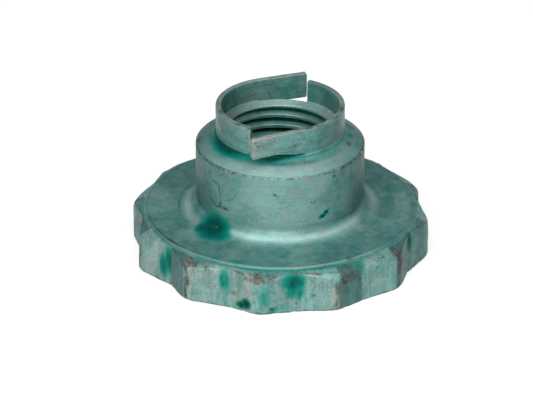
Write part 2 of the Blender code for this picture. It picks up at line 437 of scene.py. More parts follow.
class Skin:
    """A closed skin of four-sided faces: loops of points, one after another, and what lies on them.

    Angles, radii and heights are those of the clean skin. Shown is 0 where other pieces cover it.
    """

    def __init__(self, loops: Array, ring: bool) -> None:
        """Start even, clean and uncovered.

        Args:
            loops: points by loop, by place in the loop, with x, y and z in the last axis.
            ring: whether the last loop meets the first. If not, each end gets a cap, and a loop's
                second half runs back beside its first half.
        """
        self.points = loops
        self.ring = ring
        self.angles = angles_of(loops)
        self.radii = np.hypot(loops[..., 0], loops[..., 1])
        self.heights = loops[..., 2]
        self.masks = {mask: np.zeros(loops.shape[:2]) for mask in Mask}
        self.uneven = np.zeros(loops.shape[:2])
        self.shown = np.ones(loops.shape[:2])

    def add(self, mask: Mask, values: Array) -> None:
        """Raise a mask to new values, where it isn't higher already."""
        self.masks[mask] = np.maximum(self.masks[mask], values)

    def lay(self, mask: Mask, spots: Iterable[Spot], within: Array | float = 1.0) -> None:
        """Lay spots on the skin, as far as they are within what may have them."""
        for spot in spots:
            self.add(mask, spot.on(self.points) * within)

    def mottled(self, level: float, share: float) -> Array:
        """Give a level that varies with a share of the skin's unevenness."""
        return level + share * self.uneven

    def faces(self) -> Array:
        """Number the corners of every face, all facing out.

        Returns:
            Four numbers of points for each face.
        """
        count, size = self.points.shape[:2]
        numbers = np.arange(count * size).reshape(count, size)
        here = numbers if self.ring else numbers[:-1]
        ahead = np.roll(numbers, -1, axis=0) if self.ring else numbers[1:]
        corners = (here, ahead, np.roll(ahead, -1, axis=1), np.roll(here, -1, axis=1))
        quads = np.stack(corners, axis=-1).reshape(-1, 4)
        if not self.ring:
            low = np.arange(size // 2 - 1)
            cap = np.stack((low, low + 1, size - 2 - low, size - 1 - low), axis=-1)
            quads = np.concatenate((quads, cap, (cap + (count - 1) * size)[:, ::-1]))
        return quads if self.volume(quads) > 0.0 else quads[:, ::-1]

    def volume(self, quads: Array) -> float:
        """Work out the volume that faces close, below 0 if they face in."""
        a, b, c, d = (self.points.reshape(-1, 3)[quads[:, corner]] for corner in range(4))
        return float(np.sum(a * np.cross(b, c)) + np.sum(a * np.cross(c, d))) / 6.0

    def outward(self) -> Array:
        """Work out the way that the skin faces.

        Returns:
            A direction of length 1 for each point.
        """
        quads = self.faces()
        flat = self.points.reshape(-1, 3)
        across = np.cross(flat[quads[:, 2]] - flat[quads[:, 0]], flat[quads[:, 3]] - flat[quads[:, 1]])
        sums = np.zeros_like(flat)
        for corner in range(4):
            np.add.at(sums, quads[:, corner], across)
        lengths = np.maximum(np.linalg.norm(sums, axis=1, keepdims=True), 1e-18)
        return (sums / lengths).reshape(self.points.shape)

    def push(self, distances_mm: Array) -> None:
        """Move each point out by some millimetres along the skin's direction there."""
        self.points = self.points + self.outward() * (distances_mm * MM)[..., None]

    def make(self, name: str, material: bpy.types.Material, sharp_angle: float) -> bpy.types.Object:
        """Turn the skin into an object of the scene.

        Args:
            name: the piece's name.
            material: its finish.
            sharp_angle: edges that turn by more than this, in degrees, stay crisp.

        Returns:
            The new object.
        """
        mesh = bpy.data.meshes.new(name)
        mesh.from_pydata(self.points.reshape(-1, 3).tolist(), [], self.faces().tolist())
        place = mesh.attributes.new("place", "FLOAT_VECTOR", "POINT")
        place.data.foreach_set("vector", self.points.astype(np.float32).ravel())
        for mask, values in self.masks.items():
            attribute = mesh.attributes.new(mask.value, "FLOAT", "POINT")
            attribute.data.foreach_set("value", values.astype(np.float32).ravel())
        mesh.shade_smooth()
        mesh.set_sharp_from_angle(angle=math.radians(sharp_angle))
        mesh.materials.append(material)
        piece = bpy.data.objects.new(name, mesh)
        bpy.context.scene.collection.objects.link(piece)
        return piece


@dataclass(frozen=True)
class LacqueredZinc:
    """Zinc-plated steel, dipped in thin green lacquer and left to drain. Sizes are millimetres.

    The eye sees a satin metal through a green film: pale mint where the film is thin, a strong green
    where it ran, near black in deep drops, grey where it hazed, brown-black with pale flecks where it is
    worn. Highlights are painted in the pale metal colour, and shade in the dark dirt colour.
    """

    name: str
    lay: Lay
    seed: float
    film: str = "#66978f"
    deep_film: str = "#487e78"
    # The pale metal colour also paints highlights, and the dark dirt colour below also paints shade.
    plating_and_highlight: str = "#9aa7a1"
    fleck: str = "#d2ccc4"
    run: str = "#0c8374"
    pooled: str = "#023a30"
    grime: str = "#221f1d"
    soiled_and_shaded: str = "#3b4e4c"
    haze: str = "#8d9591"
    metallic: float = 0.22
    roughness: float = 0.38
    specular: float = 0.22
    run_specular: float = 0.06
    # Real tool marks are too fine to show in a render, so they are drawn a few times coarser.
    mark_pitch: float = 0.35
    mark_depth: float = 0.006
    mark_tint: float = 0.25
    grain_size: float = 0.45
    grain_depth: float = 0.01
    blotch_size: float = 5.0
    patch_size: float = 9.0
    patch_share: float = 0.5
    haze_share: float = 0.2
    splash_share: float = 0.0
    crack_share: float = 0.5
    speck_share: float = 0.5
    speck_start: float = 0.68
    fleck_share: float = 0.7
    fleck_size: float = 0.6
    fleck_start: float = 1.1
    fray: float = 0.8
    fray_size: float = 1.1
    run_edge: Span = (0.02, 0.7)
    deep_edge: Span = (0.42, 1.2)

    # Common to every finish
    roughness_spread: float = 0.07
    pooled_roughness: float = 0.3
    worn_roughness: float = 0.7
    haze_size: float = 3.0
    rub_size: float = 2.2
    rub_start: float = 0.98
    rub_share: float = 0.85
    worn_border: float = 0.3
    worn_grain: float = 0.25
    splash_size: float = 4.2
    splash_shift: float = 11.0
    splash_edge: Span = (0.54, 0.72)
    crack_size: float = 5.5
    crack_edge: Span = (0.003, 0.014)
    cracked_area_size: float = 12.0
    cracked_area_edge: Span = (0.5, 0.62)
    speck_size: float = 1.3
    speck_border: float = 0.08
    film_edge: Span = (0.38, 0.66)
    patch_edge: Span = (0.46, 0.66)
    haze_edge: Span = (0.47, 0.68)
    cloud_span: Span = (0.3, 0.7)
    cloudy_soil: Span = (0.6, 1.2)
    patchy_rub: Span = (1.6, -0.8)
    fine_span: Span = (0.7, 1.3)
    presence_edge: Span = (0.02, 0.4)
    fray_shift: float = -0.05
    fray_grain: float = 0.2
    drained: tuple[float, float, float] = (1.0, 1.0, 0.3)

    def make(self) -> bpy.types.Material:
        """Build the finish.

        Returns:
            The new material.
        """
        material = bpy.data.materials.new(self.name)
        node = fresh_nodes(material)
        place = node("Attribute", output="Vector", attribute_name="place")
        laid = {mask: node("Attribute", output="Fac", attribute_name=mask.value) for mask in Mask}
        grain = node("TexNoise", {"Vector": place, "Scale": per_size(self.grain_size), "Detail": 3.0})
        marks = self.tool_marks(node, place)
        clouds = self.clouds(node, place)
        patches = self.patches(node, clouds)
        fine = node("Math", {0: marks, 1: grain}, operation="ADD")
        run, pooled = self.lacquer_masks(node, place, laid[Mask.POOL], grain)
        worn, fleck = self.worn_masks(node, clouds, laid[Mask.WEAR], grain)
        cloudy = node("MapRange", {"Value": clouds[Cloud.PATCH]} | span(self.cloud_span, self.cloudy_soil))
        soil = node("Math", {0: laid[Mask.SOIL], 1: cloudy}, operation="MULTIPLY", use_clamp=True)
        layers = (
            (patches[Cloud.HAZE], self.haze),
            # Dirt, and painted shade.
            (soil, self.soiled_and_shaded),
            (self.dirt_mask(node, clouds, patches[Cloud.SPECK]), self.grime),
            (run, self.run),
            (pooled, self.pooled),
            (worn, self.grime),
            (fleck, self.fleck),
        )
        colour = self.colour(node, clouds, patches, laid[Mask.BARE], fine)
        for mask, shade in layers:
            colour = node("Mix", {0: mask, 6: colour, 7: linear(shade)}, 2, data_type="RGBA")
        dull = node("Math", {0: run, 1: worn}, operation="MAXIMUM")
        metallic = node("MapRange", {"Value": dull, "To Min": self.metallic, "To Max": 0.0})
        specular = node("MapRange", {"Value": run, "To Min": self.specular, "To Max": self.run_specular})
        rough = (self.roughness - self.roughness_spread, self.roughness + self.roughness_spread)
        roughness = node("MapRange", {"Value": clouds[Cloud.BLOTCH]} | span(self.cloud_span, rough))
        for mask, value in ((pooled, self.pooled_roughness), (worn, self.worn_roughness)):
            roughness = node("Mix", {0: mask, 2: roughness, 3: value}, data_type="FLOAT")
        height = 0.0
        for pattern, depth in ((marks, self.mark_depth), (grain, self.grain_depth)):
            height = node("Math", {0: pattern, 1: depth, 2: height}, operation="MULTIPLY_ADD")
        surface = {
            "Base Color": colour,
            "Metallic": metallic,
            "Roughness": roughness,
            "Specular IOR Level": specular,
            "Normal": node("Bump", {"Height": height, "Strength": 1.0, "Distance": MM}),
        }
        node("OutputMaterial", {"Surface": node("BsdfPrincipled", surface)})
        return material

    def tool_marks(self, node: Adder, place: Socket) -> Socket:
        """Draw the tool marks along their lay.

        Args:
            node: adds a node to the finish.
            place: each point's place at rest.

        Returns:
            The marks' height, from 0 to 1.
        """
        course = place
        if self.lay is Lay.TURNED:
            axes = node("SeparateXYZ", {"Vector": place}).node.outputs
            flat = node("VectorMath", {0: place, 1: (1.0, 1.0, 0.0)}, operation="MULTIPLY")
            radius = node("VectorMath", {0: flat}, "Value", operation="LENGTH")
            course = node("CombineXYZ", {"X": radius, "Y": axes["X"], "Z": axes["Z"]})
        course = node("VectorMath", {0: course, 1: self.lay.value}, operation="MULTIPLY")
        pattern = {"Vector": course, "Scale": per_size(self.mark_pitch), "Detail": 4.0, "Roughness": 0.65}
        return node("TexNoise", pattern)

    def clouds(self, node: Adder, place: Socket) -> Clouds:
        """Draw every cloud of noise at its size.

        Args:
            node: adds a node to the finish.
            place: each point's place at rest.

        Returns:
            The clouds, from 0 to 1.
        """
        sizes = {
            Cloud.BLOTCH: self.blotch_size,
            Cloud.PATCH: self.patch_size,
            Cloud.HAZE: self.haze_size,
            Cloud.RUB: self.rub_size,
            Cloud.FLECK: self.fleck_size,
            Cloud.CRACK: self.crack_size,
            Cloud.CRACKED_AREA: self.cracked_area_size,
            Cloud.SPECK: self.speck_size,
        }
        drawn = {}
        for cloud, size in sizes.items():
            shift, detail, roughness = cloud.value
            pattern = {"Vector": place, "Scale": per_size(size), "W": self.seed + shift}
            pattern |= {"Detail": detail, "Roughness": roughness}
            drawn[cloud] = node("TexNoise", pattern, noise_dimensions="4D")
        return drawn

    def patches(self, node: Adder, clouds: Clouds) -> Clouds:
        """Keep only the denser parts of some clouds, with soft borders.

        Args:
            node: adds a node to the finish.
            clouds: the clouds of noise.

        Returns:
            A mask for each of those clouds.
        """
        edges = {
            Cloud.BLOTCH: (self.film_edge, 1.0),
            Cloud.PATCH: (self.patch_edge, self.patch_share),
            Cloud.HAZE: (self.haze_edge, self.haze_share),
            Cloud.SPECK: ((self.speck_start, self.speck_start + self.speck_border), self.speck_share),
        }
        return {
            cloud: node("MapRange", {"Value": clouds[cloud]} | span(edge, (0.0, share)), **SMOOTH)
            for cloud, (edge, share) in edges.items()
        }

    def lacquer_masks(self, node: Adder, place: Socket, pool: Socket, grain: Socket) -> tuple[Socket, Socket]:
        """Find where the lacquer ran and where it stands deep.

        Args:
            node: adds a node to the finish.
            place: each point's place at rest.
            pool: how thick the lacquer lies.
            grain: fine noise that frays the edges.

        Returns:
            A mask for the green runs and one for the near-black drops.
        """
        upright = node("VectorMath", {0: place, 1: self.drained}, operation="MULTIPLY")
        pattern = {"Vector": upright, "Scale": per_size(self.fray_size), "Detail": 5.0, "Roughness": 0.65}
        shift = self.fray_shift - self.fray / 2.0
        for noisy, share in ((node("TexNoise", pattern), self.fray), (grain, self.fray_grain)):
            shift = node("Math", {0: noisy, 1: share, 2: shift}, operation="MULTIPLY_ADD")
        presence = node("MapRange", {"Value": pool} | span(self.presence_edge))
        frayed = node("Math", {0: shift, 1: presence, 2: pool}, operation="MULTIPLY_ADD")
        run, deep = (
            node("MapRange", {"Value": frayed} | span(edge), **SMOOTH)
            for edge in (self.run_edge, self.deep_edge)
        )
        pattern = {"Vector": upright, "Scale": per_size(self.splash_size), "Detail": 4.0}
        splash = node("TexNoise", pattern | {"W": self.seed + self.splash_shift}, noise_dimensions="4D")
        border = span(self.splash_edge, (0.0, self.splash_share))
        splash = node("MapRange", {"Value": splash} | border, **SMOOTH)
        return node("Math", {0: run, 1: splash}, operation="MAXIMUM"), deep

    def worn_masks(self, node: Adder, clouds: Clouds, wear: Socket, grain: Socket) -> tuple[Socket, Socket]:
        """Find where the lacquer has worn off: dirt holds there, and uncoated metal glints between.

        Args:
            node: adds a node to the finish.
            clouds: the clouds of noise.
            wear: how exposed each point is.
            grain: fine noise that frays the edges.

        Returns:
            A mask for the dirt and one for the pale flecks.
        """
        kinds = (
            (Cloud.RUB, self.rub_start, self.rub_share),
            (Cloud.FLECK, self.fleck_start, self.fleck_share),
        )
        masks = []
        for cloud, start, most in kinds:
            worn = node("Math", {0: wear, 1: clouds[cloud]}, operation="ADD")
            worn = node("Math", {0: grain, 1: self.worn_grain, 2: worn}, operation="MULTIPLY_ADD")
            border = span((start, start + self.worn_border), (0.0, most))
            masks.append(node("MapRange", {"Value": worn} | border, **SMOOTH))
        return masks[0], masks[1]

    def dirt_mask(self, node: Adder, clouds: Clouds, specks: Socket) -> Socket:
        """Draw hair cracks of the lacquer, in some places only, and small dark specks.

        Args:
            node: adds a node to the finish.
            clouds: the clouds of noise.
            specks: the mask of the specks.

        Returns:
            The mask of both.
        """
        offset = node("Math", {0: clouds[Cloud.CRACK], 1: 0.5}, operation="SUBTRACT")
        offset = node("Math", {0: offset}, operation="ABSOLUTE")
        crack = node("MapRange", {"Value": offset} | span(self.crack_edge, (self.crack_share, 0.0)))
        area = node("MapRange", {"Value": clouds[Cloud.CRACKED_AREA]} | span(self.cracked_area_edge))
        crack = node("Math", {0: crack, 1: area}, operation="MULTIPLY")
        return node("Math", {0: crack, 1: specks}, operation="MAXIMUM")

    def colour(self, node: Adder, clouds: Clouds, patches: Clouds, thin: Socket, fine: Socket) -> Socket:
        """Mix the colours of the film and of the plated metal that shows through it, which also paints
        highlights.

        Args:
            node: adds a node to the finish.
            clouds: the clouds of noise.
            patches: the denser parts of some clouds.
            thin: how far the film is rubbed thin, and how strongly light is painted.
            fine: the tool marks and the grain.

        Returns:
            The colour without drops, wear and dirt.
        """
        shades = {6: linear(self.film), 7: linear(self.deep_film)}
        film = node("Mix", {0: patches[Cloud.BLOTCH]} | shades, 2, data_type="RGBA")
        slope, shift = self.patchy_rub
        patchy = node("Math", {0: clouds[Cloud.PATCH], 1: slope, 2: shift}, operation="MULTIPLY_ADD")
        # Thin film, together with painted light.
        rubbed = node("Math", {0: thin, 1: patchy}, operation="ADD", use_clamp=True)
        rubbed = node("Math", {0: rubbed, 1: thin}, operation="MULTIPLY")
        bare = node("Math", {0: patches[Cloud.PATCH], 1: rubbed}, operation="MAXIMUM")
        # The pale metal colour paints the thin film and the painted highlights.
        mixed = node("Mix", {0: bare, 6: film, 7: linear(self.plating_and_highlight)}, 2, data_type="RGBA")
        tints = (1.0 - self.mark_tint, 1.0 + self.mark_tint)
        tint = node("MapRange", {"Value": fine} | span(self.fine_span, tints))
        return node("VectorMath", {0: mixed, "Scale": tint}, operation="SCALE")


class Piece(ABC):
    """A piece of the nut: a skin that is shaped, aged, dressed in a finish and joined to the nut."""

    sharp_angle: ClassVar[float] = 40.0

    @abstractmethod
    def skin(self) -> Skin:
        """Shape the piece, smooth and clean."""

    @abstractmethod
    def age(self, skin: Skin) -> None:
        """Wear, dirty and dent the piece's skin, and paint light and shade on some pieces."""

    @abstractmethod
    def join(self, piece: bpy.types.Object) -> None:
        """Join the piece to the nut in place of its solid."""

    def build(self, name: str, material: bpy.types.Material) -> bpy.types.Object:
        """Build and dress the piece.

        Args:
            name: the piece's name.
            material: its finish.

        Returns:
            The new object, joined to the nut.
        """
        skin = self.skin()
        self.age(skin)
        piece = skin.make(name, material, self.sharp_angle)
        self.join(piece)
        return piece


@dataclass
class GripRing(Piece):
    """The forged ring that the hand turns, with pointed lobes round its rim."""

    solid: Reach
    seat_radius: float
    lobes: int = 12
    lobe_angle: float = -8.5
    tip_trim: float = 0.4 * MM
    tip_fall: float = 0.6 * MM
    valley_rises: tuple[float, ...] = (2.1, 1.9, 2.6, 2.5, 2.5, 2.6, 2.6, 2.8, 3.0, 3.0, 3.1, 2.3)
    valley_turns: tuple[float, ...] = (2.0, -2.8, -3.4, -1.0, 0.5, -0.8, 0.6, -0.5, 0.8, 1.5, 3.0, 2.6)
    valley_draft: float = 0.5 * MM
    least_wall: float = 0.5 * MM
    tip_rounding: float = 2.8 * MM
    valley_rounding: float = 0.8 * MM
    edge_rounding: float = 0.35 * MM
    tip_edge_rounding: float = 1.8 * MM
    foot_rounding: float = 0.7 * MM
    top_slope: float = 8.0
    seat_floor: float = 8.7 * MM
    columns: int = 960
    step: float = 0.28 * MM
    corner_points: int = 9
    rounding_steps: int = 4
    underside_step: float = 0.2
    top_step: float = 0.12
    top_curve: float = 1.5
    edge_row: int = field(init=False, default=0)

    # Unevenness in millimetres, then wear, lacquer, painted shade and painted light, with the size of each
    # run drawn by chance
    unevenness: Ripple = Ripple(4.0, 23.0)
    swells: tuple[Ripple, ...] = (Ripple(5.0, 1.3, 0.10), Ripple(1.6, 7.9, 0.05))
    nicks: Ripple = Ripple(2.2, 17.0)
    nick_start: float = 0.15
    nick_depth: float = 0.5
    nick_wear: float = 0.6
    pool_rise: float = 0.1
    covered_edge: float = 0.6 * MM
    seed: int = 4
    tip_wear: Span = (0.42, 0.68)
    tip_wear_width: float = 0.95 * MM
    tip_mottle: Span = (1.0, 0.7)
    crown_wear: float = 0.62
    crown_width: float = 3.2 * MM
    crown_reach: float = 1.1 * MM
    crown_mottle: Span = (0.9, 0.6)
    tip_rub_width: float = 1.3 * MM
    tip_rubs: tuple[float, ...] = (0.35, 0.5, 0.2, 0.6, 0.5, 0.7, 0.4, 0.6, 0.5, 0.3, 0.5, 0.45)
    runs: tuple[Span, ...] = ((3.0, 8.0), (0.5, 1.0), (0.15, 0.45))
    run_fade: float = 4.0 * MM
    edge_shift: float = 0.1 * MM
    edge_reach: float = 0.6 * MM
    edge_mottle: Span = (0.55, 0.7)
    foot_span: Span = (35.0 * MM, 36.0 * MM)
    foot_reach: float = 0.7 * MM
    foot_mottle: Span = (0.85, 0.4)
    top_margin: float = 1.0 * MM
    gutter_level: float = 0.4
    gutter_front: Turn = Turn(0.0, 45.0, 0.4)
    gutter_reach: float = 0.5
    gutter_spread: Turn = Turn(2.0, 22.0, 0.5)
    gutter_share: float = 0.9
    gutter_breaks: Ripple = Ripple(9.0, 41.0, 0.7)
    gutter_limits: Span = (0.45, 1.2)
    grimy: tuple[Turn, ...] = (Turn(-37.0, 9.0), Turn(27.5, 6.0), Turn(-10.0, 6.0, 0.7))
    grimy_soil: float = 0.65
    grimy_wear: float = 0.36
    grimy_mottle: Span = (1.0, 0.5)
    # Painted shade on some flanks of the lobes.
    shaded_facet_border: float = 0.8
    shaded_facets: tuple[Facet, ...] = (
        Facet(22.6, 33.7, 0.75),
        Facet(-7.5, 8.0, 0.2),
        Facet(-50.5, -39.6, 0.75),
        Facet(49.6, 63.0, 0.75),
        Facet(63.0, 80.5, 0.55),
        Facet(-83.0, -69.0, 0.75),
        Facet(-98.5, -83.0, 0.5),
        Facet(96.0, 111.5, 0.5),
        Facet(141.5, 156.0, 0.4),
        Facet(-128.5, -113.0, 0.5),
    )
    # Painted light on other flanks of the lobes.
    lit_facet_border: float = 2.0
    lit_facets: tuple[Facet, ...] = (
        Facet(-67.5, -53.5, 0.68),
        Facet(-37.0, -22.0, 0.62),
        Facet(-20.5, -9.5, 0.95),
        Facet(9.5, 20.5, 0.6),
        Facet(34.0, 50.0, 0.5),
        Facet(112.0, 126.0, 0.6),
        Facet(157.0, 171.0, 0.6),
        Facet(-158.0, -144.0, 0.6),
    )
    rubs: tuple[Spot, ...] = (
        Spot(20.2, 38.7, 4.4, 1.7, 4.6, 0.95),
        Spot(-9.0, 38.6, 8.6, 2.4, 1.0, 0.7),
        Spot(-37.0, 38.6, 6.0, 1.0, 4.0, 0.7),
    )
    drops: tuple[Spot, ...] = (
        Spot(5.2, 36.8, 8.4, 3.3, 3.2, 0.85),
        Spot(3.0, 36.8, 5.8, 1.6, 2.4, 0.55),
        Spot(7.0, 36.8, 5.8, 1.7, 2.8, 0.6),
        Spot(5.0, 36.8, 5.8, 1.6, 2.4, 0.6),
        Spot(-15.2, 37.8, 2.0, 1.7, 1.2, 1.05),
        Spot(-13.0, 38.0, 2.5, 1.4, 1.7, 1.15),
        Spot(-3.2, 37.9, 1.5, 1.2, 0.9, 0.75),
        Spot(-6.2, 38.5, 4.6, 1.7, 3.0, 0.42),
        Spot(-22.6, 36.7, 7.9, 1.8, 3.6, 0.62),
        Spot(-54.6, 36.7, 5.2, 1.9, 4.0, 0.75),
        Spot(-51.4, 36.6, 7.2, 1.8, 4.6, 0.85),
        Spot(65.0, 36.6, 8.8, 1.7, 3.2, 1.0),
        Spot(43.5, 37.4, 5.6, 2.6, 2.4, 0.22),
        Spot(-33.5, 37.8, 3.0, 1.8, 1.3, 0.26),
        Spot(-35.5, 38.2, 8.4, 1.4, 1.0, 0.24),
    )
    stains: tuple[Spot, ...] = (
        Spot(25.2, 38.3, 8.2, 1.8, 2.2, 0.6),
        Spot(25.6, 38.3, 5.2, 1.4, 1.8, 0.55),
        Spot(29.3, 37.5, 5.6, 1.2, 1.4, 0.5),
        Spot(32.2, 37.0, 6.6, 1.5, 1.2, 0.52),
        Spot(22.6, 38.7, 6.0, 1.0, 4.6, 0.58),
        Spot(-37.8, 38.8, 6.0, 1.5, 4.6, 0.58),
        Spot(-8.0, 38.7, 9.8, 6.0, 2.0, 0.64),
        Spot(-34.5, 38.2, 10.2, 3.0, 0.8, 0.58),
        Spot(-18.6, 37.2, 4.6, 1.8, 1.6, 0.5),
        Spot(-13.5, 37.9, 6.8, 1.6, 1.8, 0.48),
        Spot(52.5, 38.8, 8.0, 1.4, 3.0, 0.56),
        Spot(61.5, 36.9, 6.0, 1.0, 4.0, 0.52),
        Spot(12.5, 38.0, 5.0, 1.6, 1.4, 0.42),
        Spot(-14.0, 37.9, 2.6, 3.6, 2.4, 0.46),
        Spot(28.5, 37.6, 9.0, 3.2, 1.6, 0.5),
        Spot(30.5, 37.3, 7.6, 2.4, 1.6, 0.46),
    )

    def outline(self, draft: float) -> Array:
        """Work out the lobed outline: straight flanks between rounded tips and valleys.

        Args:
            draft: how much deeper than at the foot the valleys are.

        Returns:
            The outline's x and y, one point for each column.
        """
        tip = self.solid.outer + self.tip_trim
        deepest = self.seat_radius + self.least_wall
        valleys = np.maximum(tip - np.array(self.valley_rises) * MM - draft, deepest)
        radii = np.stack((np.full(self.lobes, tip), valleys), axis=1).ravel()
        turns = np.stack((np.zeros(self.lobes), self.valley_turns), axis=1).ravel()
        corners = around(self.lobe_angle + np.arange(len(radii)) * FULL_TURN / len(radii) + turns, radii)
        shares = np.linspace(0.0, 1.0, self.corner_points)[:, None]
        path = []
        for place, corner in enumerate(corners):
            trim = self.tip_rounding if place % 2 == 0 else self.valley_rounding
            sides = [corners[place - 1] - corner, corners[(place + 1) % len(corners)] - corner]
            start, end = (corner + side / np.linalg.norm(side) * trim for side in sides)
            path.append((1 - shares) ** 2 * start + 2 * shares * (1 - shares) * corner + shares**2 * end)
        points = np.roll(np.concatenate(path), -(len(shares) // 2), axis=0)
        points = np.append(points, points[:1], axis=0)
        walked = np.append(0.0, np.cumsum(np.linalg.norm(np.diff(points, axis=0), axis=1)))
        places = np.linspace(0.0, len(corners), self.columns, endpoint=False)
        stops = np.interp(places, np.arange(len(corners) + 1), walked[:: len(shares)])
        return np.stack([np.interp(stops, walked, points[:, axis]) for axis in (0, 1)], axis=-1)

    def skin(self) -> Skin:
        """Build the ring's skin row by row: underside, foot, side, top edge, top and seat.

        Returns:
            The skin, smooth and clean.
        """
        low_rim = self.outline(0.0)
        high_rim = self.outline(self.valley_draft)
        along = np.roll(low_rim, -1, axis=0) - np.roll(low_rim, 1, axis=0)
        inward = np.stack((-along[:, 1], along[:, 0]), axis=-1)
        inward /= np.linalg.norm(inward, axis=1, keepdims=True)
        bore, seat = (around(angles_of(low_rim), radius) for radius in (self.solid.inner, self.seat_radius))
        reach = np.hypot(*low_rim.T)
        toward_tip = (reach - reach.min()) / (reach.max() - reach.min())
        rounding = self.edge_rounding + (self.tip_edge_rounding - self.edge_rounding) * toward_tip
        edge = high_rim + inward * rounding[:, None]
        slope = math.tan(math.radians(self.top_slope))
        fall = self.tip_fall * toward_tip**3
        edge_top = self.solid.high - (np.hypot(*edge.T) - self.seat_radius) * slope - fall
        side_top = edge_top - rounding
        level = np.ones(self.columns)
        foot = low_rim + inward * self.foot_rounding
        quarter = np.radians(np.linspace(0.0, QUARTER_TURN, self.rounding_steps + 1)[:-1])
        rows = []
        for share in spaced(0.0, 1.0, self.underside_step)[:-1]:
            rows.append((bore + (foot - bore) * share, 0.0 * level))
        for turn in quarter:
            inset = self.foot_rounding * (1.0 - math.sin(turn))
            rows.append((low_rim + inward * inset, self.foot_rounding * (1.0 - math.cos(turn)) * level))
        for share in spaced(0.0, 1.0, self.step / self.solid.high)[:-1]:
            side = low_rim + (high_rim - low_rim) * share
            rows.append((side, self.foot_rounding + (side_top - self.foot_rounding) * share))
        self.edge_row = len(rows) + self.rounding_steps // 2
        for turn in quarter:
            inset = rounding[:, None] * (1.0 - math.cos(turn))
            rows.append((high_rim + inward * inset, side_top + rounding * math.sin(turn)))
        for share in spaced(0.0, 1.0, self.top_step):
            eased = 1.0 - (1.0 - share) ** self.top_curve
            rows.append((edge + (seat - edge) * share, edge_top + (self.solid.high - edge_top) * eased))
        rows += [(flat, self.seat_floor * level) for flat in (seat, bore)]
        loops = [np.concatenate((flat, height[:, None]), axis=1) for flat, height in rows]
        return Skin(np.stack(loops, axis=1), ring=True)

    def off_edge(self, points: Array) -> Array:
        """Measure along the surface from the top edge of the rim.

        Args:
            points: the skin's points.

        Returns:
            The distance of each point, above 0 on the top and below 0 on the side.
        """
        steps = np.linalg.norm(np.diff(points, axis=1), axis=-1)
        walked = np.concatenate((np.zeros((len(points), 1)), np.cumsum(steps, axis=1)), axis=1)
        return walked - walked[:, self.edge_row, None]

    def rub_lobes(self, skin: Skin, off_edge: Array) -> None:
        """Wear the tip of each lobe, and let lacquer run down the valley beside it.

        Args:
            skin: the ring's skin, which is changed.
            off_edge: each point's distance from the top edge.
        """
        draw = random.Random(self.seed)
        for lobe in range(self.lobes):
            tip = self.lobe_angle + lobe * FULL_TURN / self.lobes
            off_tip = np.radians(turn_from(skin.angles, tip)) * skin.radii
            worn = draw.uniform(*self.tip_wear) * skin.mottled(*self.tip_mottle)
            crown = self.crown_wear * bell(off_tip, self.crown_width)
            crown = crown * fade(np.abs(off_edge), self.crown_reach)
            skin.add(Mask.WEAR, worn * bell(off_tip, self.tip_wear_width) * skin.shown)
            skin.add(Mask.WEAR, crown * skin.mottled(*self.crown_mottle) * skin.shown)
            skin.add(Mask.BARE, self.tip_rubs[lobe] * bell(off_tip, self.tip_rub_width) * skin.shown)
            valley = tip + FULL_TURN / self.lobes / 2.0 + self.valley_turns[lobe]
            off_valley = np.radians(turn_from(skin.angles, valley)) * skin.radii
            foot, width, depth = (draw.uniform(*limits) for limits in self.runs)
            fades = ease(skin.heights, foot * MM, foot * MM + self.run_fade)
            skin.add(Mask.POOL, depth * bell(off_valley, width * MM) * fades * skin.shown)

    def fill_gutter(self, skin: Skin, off_edge: Array) -> None:
        """Let lacquer stand in the gutter along the hub, and dirt on the top beside it.

        Args:
            skin: the ring's skin, which is changed.
            off_edge: each point's distance from the top edge.
        """
        on_top = (off_edge > 0.0) & (skin.heights > self.seat_floor + self.top_margin)
        level = self.gutter_level + self.gutter_front.on(skin.angles)
        reach = (self.gutter_reach + self.gutter_spread.on(skin.angles)) * MM
        broken = np.clip(self.gutter_share + self.gutter_breaks.on(skin.points), *self.gutter_limits)
        skin.add(Mask.POOL, level * fade(np.abs(skin.radii - self.seat_radius), reach) * on_top * broken)
        grimy = over(self.grimy, skin.angles) * on_top * skin.shown
        skin.add(Mask.SOIL, self.grimy_soil * grimy)
        skin.add(Mask.WEAR, self.grimy_wear * grimy * skin.mottled(*self.grimy_mottle))

    def age(self, skin: Skin) -> None:
        """Give the ring its runs of lacquer, its worn edges, its forged unevenness and painted light and
        shade on its flanks.

        Args:
            skin: the ring's skin, which is changed.
        """
        skin.shown = ease(skin.radii, self.seat_radius, self.seat_radius + self.covered_edge)
        skin.uneven = self.unevenness.on(skin.points)
        off_edge = self.off_edge(skin.points)
        self.rub_lobes(skin, off_edge)
        self.fill_gutter(skin, off_edge)
        edges = fade(np.abs(off_edge + self.edge_shift), self.edge_reach)
        foot_edge = fade(skin.heights, self.foot_reach) * ease(skin.radii, *self.foot_span)
        skin.add(Mask.WEAR, skin.mottled(*self.edge_mottle) * edges * skin.shown)
        skin.add(Mask.WEAR, skin.mottled(*self.foot_mottle) * foot_edge * skin.shown)
        skin.lay(Mask.POOL, self.drops)
        skin.lay(Mask.WEAR, self.stains, skin.shown)
        skin.lay(Mask.BARE, self.rubs, skin.shown)
        # Paint shade on some flanks and light on others.
        for flank in self.shaded_facets:
            skin.add(Mask.SOIL, flank.on(skin.angles, self.shaded_facet_border) * skin.shown)
        for flank in self.lit_facets:
            skin.add(Mask.BARE, flank.on(skin.angles, self.lit_facet_border) * skin.shown)
        nicks = np.maximum(0.0, self.nicks.on(skin.points) - self.nick_start)
        nicks = nicks * np.clip(skin.masks[Mask.WEAR], 0.0, self.nick_wear) * self.nick_depth
        swell = over(self.swells, skin.points) - nicks
        skin.push(swell * skin.shown + skin.masks[Mask.POOL] * self.pool_rise)

    def join(self, piece: bpy.types.Object) -> None:
        """Let the ring ride on the nut in place of its solid.

        Args:
            piece: the ring's object.
        """
        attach(piece, "nut")
        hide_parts("grip_ring")


